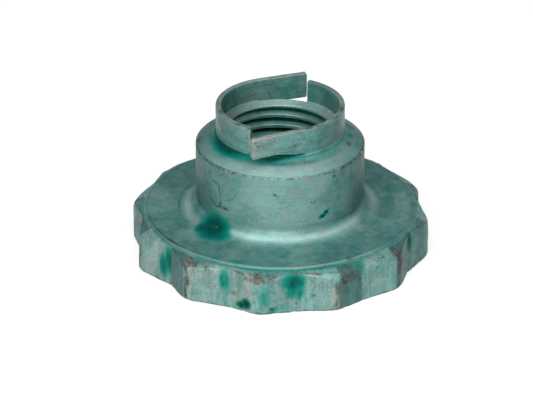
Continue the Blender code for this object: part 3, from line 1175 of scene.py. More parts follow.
@dataclass
class FlangedHub(Piece):
    """The turned hub: a flange disc, a barrel on a fillet and a sloped shoulder."""

    solid: Reach
    rim_height: float = 11.8 * MM
    barrel_radius: float = 21.8 * MM
    shoulder_foot: float = 30.0 * MM
    shoulder_crown: float = 0.25 * MM
    shoulder_shares: tuple[float, ...] = (0.0, 0.04, 0.08, 0.13, 0.18, 0.3, 0.45, 0.6, 0.75, 0.9)
    crevice_fill: float = 0.26 * MM
    bead_rise: float = 0.6 * MM
    bead_share: float = 0.2
    shoulder_rounding: float = 0.4 * MM
    fillet: float = 4.5 * MM
    flange_underside: float = 9.0 * MM
    edge_bevel: float = 0.45 * MM
    spigot_radius: float = 31.0 * MM
    columns: int = 520
    step: float = 0.27 * MM
    hidden_step: float = 2.0 * MM
    shoulder_steps: int = 6
    fillet_steps: int = 27
    bevel_steps: int = 3

    # Unevenness in millimetres, then pooled lacquer, thin film, painted light, dirt and painted shade
    unevenness: Ripple = Ripple(3.5, 3.1)
    dents: tuple[Ripple, ...] = (Ripple(7.0, 5.5, 0.02), Ripple(2.4, 9.1, 0.012))
    pool_rise: float = 0.12
    covered_edge: Span = (-1.5 * MM, -0.6 * MM)
    shoulder_edge: float = 0.4 * MM
    barrel_edge: Span = (0.6 * MM, 1.6 * MM)
    sides: Span = (35.0, 60.0)
    pools: tuple[Turn, ...] = (Turn(-54.0, 36.0, 0.88), Turn(-10.5, 9.0, 0.8))
    pool_level: float = 0.3
    pool_mottle: Span = (1.0, 0.3)
    pool_reach: float = 0.55
    wide_pool: Turn = Turn(-50.0, 27.0, 1.55)
    tides: tuple[Turn, ...] = (Turn(-85.0, 35.0), Turn(95.0, 30.0, 0.5))
    tide_level: float = 0.45
    tide_width: float = 0.5 * MM
    # Thin film all round the shoulder, with painted light towards its front.
    pale_shoulder: Turn = Turn(-8.0, 80.0, 0.75)
    pale_shoulder_level: float = 0.15
    pale_shoulder_edge: Span = (0.8 * MM, 2.2 * MM)
    # Painted light on the barrel's front, which faces the lamps.
    pale_front: Turn = Turn(0.0, 48.0, 0.7)
    pale_feet: tuple[Turn, ...] = (Turn(-88.0, 40.0, 0.95), Turn(100.0, 40.0, 0.95))
    pale_foot_inset: float = 2.2 * MM
    pale_foot_width: float = 1.8 * MM
    # A pale line along the flange's edge: a rubbed edge and a painted highlight, fading at the sides.
    pale_edge_width: float = 0.34 * MM
    pale_edge_loss: float = 0.8
    # A painted highlight: a pale band along the fillet, across the front angles.
    sheen_level: float = 0.95
    sheen_left: Span = (-46.0, -34.0)
    sheen_right: Span = (52.0, 88.0)
    sheen_height: float = 13.5 * MM
    sheen_width: float = 1.35 * MM
    sheen_reach: float = 3.0 * MM
    edge_wear: float = 0.56
    edge_width: float = 0.62 * MM
    edge_share: float = 0.95
    edge_breaks: tuple[Ripple, ...] = (Ripple(6.0, 13.0, 0.5), Ripple(0.9, 15.0, 0.3))
    # Painted shade on the barrel's flanks, which turn away from the lamps.
    dark_flanks: tuple[Turn, ...] = (Turn(-75.0, 26.0, 0.6), Turn(74.0, 26.0, 0.78))
    dark_flank_edge: Span = (3.2 * MM, 4.6 * MM)
    # Painted shade on the shoulder's left side.
    dark_shoulder: Turn = Turn(-92.0, 34.0, 0.28)
    # Painted shade: a dark line where the barrel meets the fillet.
    dark_feet: tuple[Turn, ...] = (Turn(62.0, 24.0, 0.7), Turn(-72.0, 18.0, 0.7), Turn(0.0, 48.0, 0.28))
    dark_foot_radius: float = 22.0 * MM
    dark_foot_rise: float = 3.9 * MM
    dark_foot_width: float = 0.8 * MM
    dark_rim: Turn = Turn(-50.0, 20.0, 0.6)
    dark_rim_level: float = 0.12
    dark_rim_sides: float = 0.2
    dark_rim_inset: float = 0.9 * MM
    dark_rim_width: float = 0.3 * MM
    near_wall: float = 1.0 * MM
    crack_stray: Ripple = Ripple(1.7, 31.0)
    crack_waver: float = 0.4 * MM
    crack_mottle: Span = (0.8, 0.9)
    crack_limits: Span = (0.25, 1.0)
    drops: tuple[Spot, ...] = (
        Spot(-46.8, 23.3, 13.4, 5.2, 3.6, 1.15),
        Spot(-54.0, 24.4, 12.3, 2.8, 1.4, 0.95),
        Spot(-41.5, 24.0, 12.5, 3.8, 1.4, 0.9),
        Spot(-36.6, 23.7, 12.7, 2.6, 1.6, 0.6),
        Spot(29.4, 21.8, 18.2, 0.95, 0.6, 1.1),
        Spot(32.4, 21.8, 19.1, 0.8, 0.65, 1.1),
        Spot(31.0, 21.8, 18.7, 0.7, 0.5, 0.8),
        Spot(27.6, 21.8, 17.7, 0.5, 0.4, 0.55),
        Spot(34.4, 21.8, 19.9, 0.5, 0.4, 0.5),
        Spot(38.7, 21.8, 28.5, 0.6, 0.55, 0.75),
        Spot(-3.6, 21.8, 25.5, 0.6, 0.5, 0.6),
        Spot(-1.8, 21.8, 25.1, 0.45, 0.35, 0.45),
        Spot(-5.2, 21.8, 25.9, 0.4, 0.35, 0.4),
        Spot(85.8, 18.0, 32.2, 0.8, 0.7, 0.6),
        Spot(69.6, 21.8, 29.6, 1.2, 0.45, 0.7),
        Spot(-19.2, 34.0, 11.8, 1.8, 0.9, 0.4),
    )
    stains: tuple[Spot, ...] = (
        Spot(22.5, 21.8, 22.8, 1.5, 0.9, 0.62),
        Spot(19.0, 21.8, 21.4, 1.0, 0.6, 0.55),
        Spot(-39.5, 21.8, 19.1, 1.6, 0.8, 0.42),
        Spot(-48.5, 23.0, 13.3, 0.24, 0.22, 0.9),
        Spot(-46.1, 23.1, 13.1, 0.3, 0.22, 0.9),
        Spot(-45.5, 23.7, 12.6, 0.24, 0.22, 0.9),
        Spot(-45.1, 22.8, 13.5, 0.22, 0.22, 0.9),
        Spot(72.0, 18.5, 32.2, 1.8, 1.0, 0.48),
        Spot(30.0, 34.0, 11.8, 3.4, 0.9, 0.46),
        Spot(-88.0, 20.4, 30.8, 2.4, 1.6, 0.48),
        Spot(-97.0, 19.2, 31.5, 2.0, 1.4, 0.46),
        Spot(18.7, 21.8, 27.2, 1.6, 0.8, 0.45),
        Spot(31.5, 21.8, 19.2, 2.2, 1.4, 0.42),
        Spot(-35.5, 21.8, 21.5, 3.0, 1.6, 0.42),
    )
    cracks: tuple[Crack, ...] = (
        Crack(((-56.0, 27.6), (-53.1, 25.6), (-45.8, 25.2), (-44.3, 21.5), (-44.6, 19.4), (-38.1, 19.1))),
        Crack(((-55.8, 20.3), (-48.5, 18.6), (-45.0, 18.9), (-38.1, 19.1))),
        Crack(((-45.8, 27.7), (-41.0, 29.1)), 0.28, 0.7),
        Crack(((-38.9, 21.4), (-33.7, 22.8), (-29.0, 25.2)), 0.25, 0.55),
        Crack(((41.0, 27.5), (44.0, 24.0), (43.0, 20.5)), 0.25, 0.5),
    )

    def profile(self) -> Array:
        """Work out the turned outline, from the bore over the shoulder and the flange to the foot.

        Returns:
            Points as distance from the axis and height.
        """
        lip = self.solid.inner - self.crevice_fill
        run = self.barrel_radius - lip
        rise = self.solid.high - self.shoulder_foot
        slope = math.degrees(math.atan2(rise, run))
        drop = self.shoulder_rounding * math.tan(math.radians(QUARTER_TURN - slope) / 2.0)
        corners = []
        for share in self.shoulder_shares:
            bead = self.bead_rise * max(0.0, 1.0 - share / self.bead_share) ** 2
            bulge = self.shoulder_crown * math.sin(math.pi * share) + bead
            corners.append((lip + run * share, self.solid.high - rise * share + bulge))
        shoulder = (self.barrel_radius - self.shoulder_rounding, self.shoulder_foot - drop)
        foot = (self.barrel_radius + self.fillet, self.rim_height + self.fillet)
        edge = (self.solid.outer - self.edge_bevel, self.rim_height - self.edge_bevel)
        corners += arc(shoulder, self.shoulder_rounding, QUARTER_TURN - slope, 0.0, self.shoulder_steps)
        corners += arc(foot, self.fillet, HALF_TURN, HALF_TURN + QUARTER_TURN, self.fillet_steps)
        corners += arc(edge, self.edge_bevel, QUARTER_TURN, 0.0, self.bevel_steps)
        hidden = [
            corners[-1],
            (self.solid.outer, self.flange_underside),
            (self.spigot_radius, self.flange_underside),
            (self.spigot_radius, 0.0),
            (self.solid.inner, 0.0),
            corners[0],
        ]
        seen = even_path(np.array(corners), self.step)
        return np.concatenate((seen[:-1], even_path(np.array(hidden), self.hidden_step)[:-1]))

    def skin(self) -> Skin:
        """Turn the outline about the axis.

        Returns:
            The skin, smooth and clean.
        """
        profile = self.profile()
        angles = np.arange(self.columns) * FULL_TURN / self.columns
        flat = around(angles[:, None], profile[None, :, 0])
        heights = np.broadcast_to(profile[None, :, 1, None], (*flat.shape[:2], 1))
        return Skin(np.concatenate((flat, heights), axis=-1), ring=True)

    def on_shoulder(self, skin: Skin) -> Array:
        """Tell which points lie on the shoulder."""
        return ease(skin.heights, self.shoulder_foot, self.shoulder_foot + self.shoulder_edge)

    def on_barrel(self, skin: Skin) -> Array:
        """Tell which points lie between the flange and the shoulder."""
        above_rim = ease(skin.heights - self.rim_height, *self.barrel_edge)
        return (1.0 - self.on_shoulder(skin)) * above_rim

    def off_fillet(self, skin: Skin) -> Array:
        """Measure from the line where the fillet runs out on the flange."""
        return np.hypot(skin.radii - self.barrel_radius - self.fillet, skin.heights - self.rim_height)

    def pour(self, skin: Skin) -> None:
        """Let lacquer pool along the collar, on the fillet and in drops.

        Args:
            skin: the hub's skin, which is changed.
        """
        from_collar = skin.radii - self.solid.inner
        reach = (self.pool_reach + self.wide_pool.on(skin.angles)) * MM
        pool = (self.pool_level + over(self.pools, skin.angles)) * fade(from_collar, reach)
        pool = pool * self.on_shoulder(skin) * skin.mottled(*self.pool_mottle)
        tide = self.tide_level * bell(self.off_fillet(skin), self.tide_width) * over(self.tides, skin.angles)
        skin.add(Mask.POOL, pool * skin.shown)
        skin.add(Mask.POOL, tide * skin.mottled(1.0, 1.0) * skin.shown)
        skin.lay(Mask.POOL, self.drops, skin.shown)

    def thin_film_and_highlights(self, skin: Skin) -> None:
        """Thin the film, paint light on the fronts and highlights on the fillet and the flange's rubbed edge.

        Args:
            skin: the hub's skin, which is changed.
        """
        # Thin film round the shoulder, and painted light on its front.
        collar_margin = ease(skin.radii - self.solid.inner, *self.pale_shoulder_edge)
        facing = self.pale_shoulder.on(skin.angles) + self.pale_shoulder_level
        skin.add(Mask.BARE, facing * self.on_shoulder(skin) * collar_margin)
        # Painted light on the barrel's front.
        skin.add(Mask.BARE, self.pale_front.on(skin.angles) * self.on_barrel(skin))
        # Painted highlight along the fillet.
        lit = ease(skin.angles, *self.sheen_left) * (1.0 - ease(skin.angles, *self.sheen_right))
        sheen = self.sheen_level * lit * bell(skin.heights - self.sheen_height, self.sheen_width)
        skin.add(Mask.BARE, sheen * (skin.radii < self.barrel_radius + self.sheen_reach))
        # Rubbed edge and painted highlight along the flange's edge, weaker at the sides.
        rim_edge = np.hypot(skin.radii - self.solid.outer + self.edge_bevel, skin.heights - self.rim_height)
        lost = self.pale_edge_loss * ease(np.abs(skin.angles), *self.sides)
        skin.add(Mask.BARE, bell(rim_edge, self.pale_edge_width) * (1.0 - lost))
        inside_tide = bell(self.off_fillet(skin) - self.pale_foot_inset, self.pale_foot_width)
        inside_tide = inside_tide * (skin.radii < self.barrel_radius + self.fillet)
        skin.add(Mask.BARE, over(self.pale_feet, skin.angles) * inside_tide)

    def soil(self, skin: Skin) -> None:
        """Paint shade on the barrel's flanks and foot, and darken the line inside the flange's edge and the
        cracks.

        Args:
            skin: the hub's skin, which is changed.
        """
        above_rim = skin.heights - self.rim_height
        # Painted shade on the barrel's flanks.
        flanks = over(self.dark_flanks, skin.angles) * self.on_barrel(skin)
        skin.add(Mask.SOIL, flanks * ease(above_rim, *self.dark_flank_edge))
        # Painted shade on the shoulder's left side.
        skin.add(Mask.SOIL, self.dark_shoulder.on(skin.angles) * self.on_shoulder(skin))
        # Painted shade along the barrel's foot.
        foot_line = bell(above_rim - self.dark_foot_rise, self.dark_foot_width)
        on_foot = np.abs(skin.radii - self.dark_foot_radius) < self.near_wall
        skin.add(Mask.SOIL, over(self.dark_feet, skin.angles) * foot_line * on_foot)
        inside_rim = bell(skin.radii - self.solid.outer + self.dark_rim_inset, self.dark_rim_width)
        inside_rim = inside_rim * (above_rim > -self.edge_bevel / 4.0)
        lined = self.dark_rim_level + self.dark_rim_sides * ease(np.abs(skin.angles), *self.sides)
        lined = (lined + self.dark_rim.on(skin.angles)) * skin.mottled(1.0, 1.0)
        skin.add(Mask.SOIL, lined * inside_rim)
        stray = self.crack_stray.on(skin.points)
        level, share = self.crack_mottle
        broken = np.clip(level + share * stray, *self.crack_limits)
        on_wall = np.abs(skin.radii - self.barrel_radius) < self.near_wall
        for crack in self.cracks:
            wavering = skin.heights + self.crack_waver * skin.uneven
            line = crack.on(skin.angles + stray, wavering, self.barrel_radius)
            skin.add(Mask.SOIL, line * on_wall * broken)

    def age(self, skin: Skin) -> None:
        """Give the hub its pooled lacquer, its worn edges, its dirt, painted light and shade, and slight
        dents.

        Args:
            skin: the hub's skin, which is changed.
        """
        skin.shown = ease(skin.heights - self.rim_height, *self.covered_edge)
        skin.uneven = self.unevenness.on(skin.points)
        self.pour(skin)
        self.thin_film_and_highlights(skin)
        self.soil(skin)
        top_edge = np.hypot(skin.radii - self.barrel_radius, skin.heights - self.shoulder_foot)
        broken = self.edge_share + over(self.edge_breaks, skin.points)
        skin.add(Mask.WEAR, self.edge_wear * bell(top_edge, self.edge_width) * broken * skin.shown)
        skin.lay(Mask.WEAR, self.stains, skin.shown)
        rise = over(self.dents, skin.points) + skin.masks[Mask.POOL] * self.pool_rise
        skin.push(rise * skin.shown)

    def join(self, piece: bpy.types.Object) -> None:
        """Let the hub ride on the nut in place of its solid.

        Args:
            piece: the hub's object.
        """
        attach(piece, "nut")
        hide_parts("flanged_hub")


@dataclass
class CollarSizes:
    """The sizes that the threaded bush and the two halves of its collar share."""

    solid: Reach
    tongue_foot: float
    wall: float = 1.44 * MM
    slit: float = 0.3 * MM
    counterbore_depth: float = 5.5 * MM
    root_angle: float = 22.5
    slit_angle: float = 27.75
    edge_rounding: float = 0.2 * MM

    @property
    def inner(self) -> float:
        """The radius of the counterbore, inside the collar's wall."""
        return self.solid.outer - self.wall

    @property
    def middle(self) -> float:
        """The radius of the middle of the collar's wall."""
        return self.solid.outer - self.wall / 2.0

    @property
    def floor(self) -> float:
        """The height of the counterbore's floor."""
        return self.solid.high - self.counterbore_depth


@dataclass
class ThreadedBush(Piece):
    """The sleeve below its collar: a tube with a right-hand thread and a coned mouth."""

    sharp_angle: ClassVar[float] = 75.0
    sizes: CollarSizes
    major_radius: float = 15.0 * MM
    pitch: float = 3.0 * MM
    flank_angle: float = 30.0
    root_flat_share: float = 1.0 / 8.0
    groove_height_at_back: float = 32.4 * MM
    run_out: Span = (32.7 * MM, 33.7 * MM)
    mouth_slope: float = 37.0
    foot_chamfer: float = 1.92 * MM
    columns: int = 288
    step: float = 0.13 * MM
    slit_corner: float = 0.02
    outside_rows: int = 24
    top_shares: tuple[float, ...] = (0.34, 0.67, 1.0)
    dents: Ripple = Ripple(2.0, 2.7, 0.02)
    dent_margin: float = 0.4 * MM
    groove_pool: float = 0.8
    groove_edge: Span = (0.35, 1.0)
    groove_margin: float = 0.2 * MM
    crest_wear: float = 0.2
    crest_edge: Span = (0.0, 0.15)
    mouth_rub: float = 0.85
    mouth_margin: float = 0.1 * MM
    band_foot: float = 30.0 * MM
    band_level: float = 0.1
    band_pools: tuple[Turn, ...] = (Turn(-60.0, 36.0, 0.2), Turn(0.0, 17.0, 0.7))
    dark_mouth: Turn = Turn(-105.0, 40.0, 0.55)

    def in_slit(self, angles: Array) -> Array:
        """Tell which angles lie under a tongue."""
        turns = np.array([turn_from(angles, side.value) for side in Side])
        return np.any((turns > -self.sizes.slit_angle) & (turns < self.sizes.root_angle), axis=0)

    def bore(self, angles: Array, heights: Array) -> Array:
        """Work out the radius of the threaded hole.

        Args:
            angles: degrees round the axis.
            heights: heights above the plane that the nut stands on.

        Returns:
            The radius at each place.
        """
        minor = self.sizes.solid.inner
        groove = self.groove_height_at_back + self.pitch * (angles - Side.REAR.value) / FULL_TURN
        offset = (heights - groove + self.pitch / 2.0) % self.pitch - self.pitch / 2.0
        flank = np.abs(offset) - self.pitch * self.root_flat_share / 2.0
        flank = flank / math.tan(math.radians(self.flank_angle))
        depth = np.clip(self.major_radius - flank, minor, self.major_radius) - minor
        depth = depth * (1.0 - ease(heights, *self.run_out))
        mouth = self.sizes.inner - (self.sizes.floor - heights) / math.tan(math.radians(self.mouth_slope))
        foot = minor + self.foot_chamfer - heights
        return np.maximum.reduce((minor + depth, mouth, foot))

    def skin(self) -> Skin:
        """Build the tube row by row: outside, top under the collar, mouth, thread and foot.

        Returns:
            The skin, smooth and clean.
        """
        sizes = self.sizes
        outer = sizes.solid.outer
        ends = [side.value + turn for side in Side for turn in (sizes.root_angle, -sizes.slit_angle)]
        extra = [end + shift for end in ends for shift in (-self.slit_corner, self.slit_corner)]
        angles = np.arange(self.columns) * FULL_TURN / self.columns
        angles = np.unique(np.append(angles, np.array(extra) % FULL_TURN))
        cut = self.in_slit(angles)
        top = np.where(cut, sizes.tongue_foot - sizes.slit, sizes.tongue_foot)
        lip = np.where(cut, sizes.inner - sizes.slit, sizes.inner)
        lip_top = sizes.floor - (sizes.inner - lip) * math.tan(math.radians(self.mouth_slope))
        rows = [(outer, share * top) for share in np.linspace(0.0, 1.0, self.outside_rows)]
        rows += [(outer + (lip - outer) * share, top) for share in self.top_shares]
        rows.append((lip, lip_top))
        for share in spaced(1.0, 0.0, self.step / sizes.floor)[1:]:
            height = lip_top * share
            rows.append((self.bore(angles, height), height))
        loops = [np.concatenate((around(angles, radius), height[:, None]), axis=1) for radius, height in rows]
        return Skin(np.stack(loops, axis=1), ring=True)

    def age(self, skin: Skin) -> None:
        """Give the thread its lacquer, deepest in the grooves, and its rubbed crests.

        Args:
            skin: the bush's skin, which is changed.
        """
        radii = skin.radii
        inner = self.sizes.inner
        sunk = (radii - self.sizes.solid.inner) / (self.major_radius - self.sizes.solid.inner)
        in_thread = skin.heights < self.run_out[1]
        in_mouth = ease(skin.heights, *self.run_out)
        in_groove = in_thread * (radii < self.major_radius + self.groove_margin)
        band = (radii > inner) & (skin.heights > self.band_foot)
        skin.add(Mask.POOL, self.groove_pool * ease(sunk, *self.groove_edge) * in_groove)
        skin.add(Mask.POOL, (self.band_level + over(self.band_pools, skin.angles)) * band)
        skin.add(Mask.WEAR, self.crest_wear * (1.0 - ease(sunk, *self.crest_edge)) * in_thread)
        skin.add(Mask.BARE, self.mouth_rub * in_mouth * (radii < inner + self.mouth_margin))
        skin.add(Mask.SOIL, self.dark_mouth.on(skin.angles) * in_mouth)
        skin.push(self.dents.on(skin.points) * (radii < inner - self.dent_margin))

    def join(self, piece: bpy.types.Object) -> None:
        """Let the bush ride on the nut in place of its solid.

        Args:
            piece: the bush's object.
        """
        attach(piece, "nut")
        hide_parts("threaded_sleeve")


@dataclass(frozen=True)
class Tongue:
    """How a tongue was bent out, how it differs from its solid, and how it is marked."""

    side: Side
    spread: float
    longer: float
    foot_rise: float
    tip_rub: float
    stains: tuple[Spot, ...] = ()

    @property
    def body(self) -> str:
        """The name of the tongue's body."""
        return self.side.name.lower() + "_tongue"


@dataclass
class HalfCollar(Piece):
    """One half of the collar's wall, which runs on into a tongue that was bent out."""

    sizes: CollarSizes
    tongue: Tongue
    root: Vector
    solid_length: float
    bend_length: float = 2.5 * MM
    flex_length: float = 4.0 * MM
    corner_rounding: float = 0.35 * MM
    wall_rounding: float = 0.01 * MM
    end_bevel: float = 0.1 * MM
    edge_steps: int = 3
    top_share: float = 0.25
    free_edge: float = 1.0 * MM
    lift_shares: Span = (0.1, 0.6)
    step: float = 0.22 * MM
    unevenness: Ripple = Ripple(2.5, 8.3)
    dents: Ripple = Ripple(3.0, 6.1, 0.02)
    dent_edge: Span = (0.3 * MM, 1.0 * MM)
    pool: Turn = Turn(-65.0, 32.0, 0.35)
    pool_reach: float = 0.5 * MM
    pool_mottle: Span = (1.0, 0.5)
    rim_wear: float = 0.38
    rim_rub: float = 0.6
    rim_reach: float = 0.3 * MM
    end_wear: float = 0.55
    end_reach: float = 6.0 * MM
    end_depth: float = 0.6 * MM
    wear_mottle: Span = (1.0, 0.6)
    # A painted highlight along the outer edge of the cut end.
    cut_highlight: float = 0.9
    cut_reach: float = 0.5 * MM
    tip_reach: float = 12.0 * MM
    # Painted shade on the collar's outer flanks.
    dark_flanks: tuple[Turn, ...] = (Turn(-72.0, 30.0, 0.6), Turn(68.0, 34.0, 0.66))
    # Darker inside the wall, most towards the left and right rear.
    dark_inside: tuple[Turn, ...] = (Turn(-112.0, 30.0, 0.42), Turn(120.0, 30.0, 0.24))
    dark_inside_level: float = 0.16

    @property
    def length(self) -> float:
        """The length of the tongue."""
        return self.solid_length + self.tongue.longer

    @property
    def root_angle(self) -> float:
        """The angle of the tongue's root round the axis."""
        return self.tongue.side.value + self.sizes.root_angle

    def path(self) -> tuple[Array, Array, Array]:
        """Walk along the middle of the wall, from the slit's end round to the tongue's tip.

        Returns:
            The places' x and y, the direction that the wall faces there, and the distance to the tip.
        """
        middle = self.sizes.middle
        start = self.tongue.side.value + HALF_TURN - self.sizes.slit_angle
        wall_length = math.radians(start - self.root_angle) * middle
        wall = spaced(0.0, wall_length, self.step)
        wall_angles = start - np.degrees(wall / middle)
        tongue = spaced(0.0, self.length, self.step)
        bent = self.root_angle + self.tongue.spread * ease(tongue, 0.0, self.bend_length)
        steps = np.diff(tongue)[:, None] * around(bent[:-1] - QUARTER_TURN, 1.0)
        walked = np.cumsum(np.concatenate((np.zeros((1, 2)), steps)), axis=0)
        places = np.concatenate((around(wall_angles[:-1], middle), around(self.root_angle, middle) + walked))
        facing = around(np.concatenate((wall_angles[:-1], bent)), 1.0)
        to_tip = np.concatenate((wall_length - wall[:-1] + self.length, self.length - tongue))
        return places, facing, to_tip

    def section(self, foot_rounding: float) -> Array:
        """Work out the wall's section: out from its middle and up, outside first, then back down inside.

        Args:
            foot_rounding: how far the lower edges are rounded.

        Returns:
            The section's points.
        """
        half = self.sizes.wall / 2.0
        low, high = self.sizes.tongue_foot, self.sizes.solid.high
        edge = self.sizes.edge_rounding
        foot = [(half - 2.0 * edge, low)]
        middle = (half - foot_rounding, low + foot_rounding)
        foot += arc(middle, foot_rounding, -QUARTER_TURN, 0.0, self.edge_steps)
        corners = [(half, low + 2.0 * edge)]
        corners += arc((half - edge, high - edge), edge, 0.0, QUARTER_TURN, self.edge_steps)
        corners.append((half * self.top_share, high))
        outside = np.concatenate((np.array(foot), even_path(np.array(corners), self.step)))
        return np.concatenate((outside, outside[::-1] * (-1.0, 1.0)))

    def skin(self) -> Skin:
        """Sweep the section along the path, with the tongue's free edges and corners rounded.

        Returns:
            The skin, smooth and clean.
        """
        places, facing, to_tip = self.path()
        from_root = self.length - to_tip
        free = ease(from_root, 0.0, self.free_edge)[:, None, None]
        section = self.section(self.wall_rounding) * (1.0 - free)
        section = section + self.section(self.sizes.edge_rounding) * free
        near_end = np.minimum(to_tip, to_tip[0] - to_tip)
        slim = 1.0 - 2.0 * np.maximum(0.0, self.end_bevel - near_end) / self.sizes.wall
        into = np.clip(self.corner_rounding - to_tip, 0.0, self.corner_rounding)
        taken = self.corner_rounding - np.sqrt(self.corner_rounding**2 - into**2)
        lifted = self.tongue.foot_rise * ease(from_root / self.length, *self.lift_shares)
        low, high = self.sizes.tongue_foot, self.sizes.solid.high
        share = (section[..., 1] - low) / (high - low)
        heights = (low + lifted + taken)[:, None] + (high - low - lifted - 2.0 * taken)[:, None] * share
        out = section[..., 0] * slim[:, None]
        flat = places[:, None, :] + facing[:, None, :] * out[..., None]
        return Skin(np.concatenate((flat, heights[..., None]), axis=-1), ring=False)

    def age(self, skin: Skin) -> None:
        """Give the wall its worn rim, the lacquer at its foot, painted shade on its sides, a darker inside
        and a painted highlight on its cut end.

        Args:
            skin: the half collar's skin, which is changed.
        """
        skin.uneven = self.unevenness.on(skin.points)
        worn = skin.mottled(*self.wear_mottle)
        below = self.sizes.solid.high - skin.heights
        above_foot = skin.heights - self.sizes.tongue_foot
        outside = np.arange(skin.points.shape[1]) < skin.points.shape[1] // 2
        to_tip = self.path()[2][:, None]
        from_end = to_tip[0] - to_tip
        rim = fade(below, self.rim_reach)
        skin.add(Mask.WEAR, self.rim_wear * rim * worn)
        cut_corner = fade(from_end, self.end_reach) * fade(below, self.end_depth)
        skin.add(Mask.WEAR, self.end_wear * cut_corner * worn)
        skin.lay(Mask.WEAR, self.tongue.stains)
        pool = self.pool.on(skin.angles) * outside * fade(above_foot, self.pool_reach)
        skin.add(Mask.POOL, pool * skin.mottled(*self.pool_mottle))
        skin.add(Mask.BARE, self.tongue.tip_rub * fade(to_tip, self.tip_reach) + self.rim_rub * rim)
        # Painted highlight along the cut end.
        skin.add(Mask.BARE, self.cut_highlight * fade(from_end, self.cut_reach) * outside)
        # Painted shade outside on the flanks; inside, darker towards the left and right rear.
        inside = self.dark_inside_level + over(self.dark_inside, skin.angles)
        dark = np.where(outside, over(self.dark_flanks, skin.angles), inside)
        skin.add(Mask.SOIL, dark * (1.0 - rim))
        skin.push(self.dents.on(skin.points) * ease(above_foot, *self.dent_edge))

    def join(self, piece: bpy.types.Object) -> None:
        """Bake the piece's place into its mesh, and hide the solid that it replaces.

        Args:
            piece: the half collar's object.
        """
        along = around(self.root_angle - QUARTER_TURN, self.flex_length)
        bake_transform(piece)
        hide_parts(self.tongue.body)


@dataclass(frozen=True)
class SoftBox:
    """A soft box. Its level is what it adds to a white sheet that faces it."""

    name: str
    angle: float
    elevation: float
    distance: float
    width: float
    height: float
    level: float
    mirrored: bool = True

    def hang(self) -> None:
        """Hang the box so that it faces the nut."""
        data = bpy.data.lights.new(self.name, "AREA")
        data.shape = "RECTANGLE"
        data.size = self.width
        data.size_y = self.height
        data.energy = self.level * (math.pi * self.distance) ** 2
        lamp = bpy.data.objects.new(self.name, data)
        lift = math.radians(self.elevation)
        flat = around(self.angle, self.distance * math.cos(lift))
        lamp.location = (*flat, self.distance * math.sin(lift))
        lamp.rotation_euler = (-lamp.location).to_track_quat("-Z", "Y").to_euler()
        lamp.visible_glossy = self.mirrored
        bpy.context.scene.collection.objects.link(lamp)


@dataclass
class Studio:
    """The pale floor, the soft light and the camera."""

    frame_width: int = 533
    pixel_size: float = 0.26 * MM
    camera_distance: float = 911.3 * MM
    camera_elevation: float = 27.03
    aim_height: float = 13.0 * MM
    aim_column: float = 280.0
    sensor: float = 36.0
    floor_half_width: float = 3.0
    floor_shade: str = "#b4b4b2"
    floor_glow: float = 0.7
    sky_shade: str = "#ffffff"
    world_strength: float = 0.06
    sky_gloss: float = 0.2
    boxes: tuple[SoftBox, ...] = (
        SoftBox("key_soft_box", 0.0, 60.0, 0.8, 1.3, 0.3, 0.97),
        SoftBox("fill_soft_box", -10.0, 18.0, 1.0, 0.9, 0.35, 0.62),
        SoftBox("rear_soft_box", 180.0, 12.0, 1.0, 1.2, 0.3, 0.35, mirrored=False),
    )

    def add_camera(self) -> None:
        """Put the camera where the photograph was taken from."""
        data = bpy.data.cameras.new("camera")
        data.sensor_width = self.sensor
        data.lens = self.camera_distance / self.pixel_size * self.sensor / self.frame_width
        camera = bpy.data.objects.new("camera", data)
        tilt = math.radians(self.camera_elevation)
        camera.location = (
            (self.frame_width / 2.0 - self.aim_column) * self.pixel_size,
            -self.camera_distance * math.cos(tilt),
            self.aim_height + self.camera_distance * math.sin(tilt),
        )
        camera.rotation_euler = (math.radians(QUARTER_TURN) - tilt, 0.0, 0.0)
        bpy.context.scene.collection.objects.link(camera)
        bpy.context.scene.camera = camera

    def add_floor(self) -> None:
        """Lay a floor that keeps the nut's shadow."""
        reach = self.floor_half_width
        corners = [(-reach, -reach, 0.0), (reach, -reach, 0.0), (reach, reach, 0.0), (-reach, reach, 0.0)]
        mesh = bpy.data.meshes.new("floor")
        mesh.from_pydata(corners, [], [(0, 1, 2, 3)])
        # Uncoated white paper, rolled flat, without a shine. Its glow is seen but lights nothing.
        material = bpy.data.materials.new("matt_white_paper")
        node = fresh_nodes(material)
        rays = node("LightPath").node.outputs
        seen = rays["Is Camera Ray"]
        for kind in ("Is Glossy Ray", "Is Transmission Ray"):
            seen = node("Math", {0: seen, 1: rays[kind]}, operation="MAXIMUM")
        glow = node("MapRange", {"Value": seen, "To Min": 0.0, "To Max": self.floor_glow})
        paper = node("BsdfDiffuse", {"Color": linear(self.floor_shade)})
        lit_paper = node("AddShader", {0: paper, 1: node("Emission", {"Strength": glow})})
        node("OutputMaterial", {"Surface": lit_paper})
        mesh.materials.append(material)
        floor = bpy.data.objects.new("floor", mesh)
        bpy.context.scene.collection.objects.link(floor)

    def add_world(self) -> None:
        """Surround the nut with even, pale light."""
        world = bpy.data.worlds.new("studio")
        bpy.context.scene.world = world
        node = fresh_nodes(world)
        rays = node("LightPath").node.outputs
        gloss = {0: rays["Is Glossy Ray"], 1: self.sky_gloss, 2: self.world_strength}
        strength = node("Math", gloss, operation="MULTIPLY_ADD")
        strength = node("Math", {0: strength, 1: rays["Is Camera Ray"]}, operation="MAXIMUM")
        sky = node("Background", {"Color": linear(self.sky_shade), "Strength": strength})
        node("OutputWorld", {"Surface": sky})

    def build(self) -> None:
        """Set up the whole studio."""
        bpy.context.scene.view_settings.view_transform = "Standard"
        self.add_camera()
        self.add_floor()
        self.add_world()
        for box in self.boxes:
            box.hang()


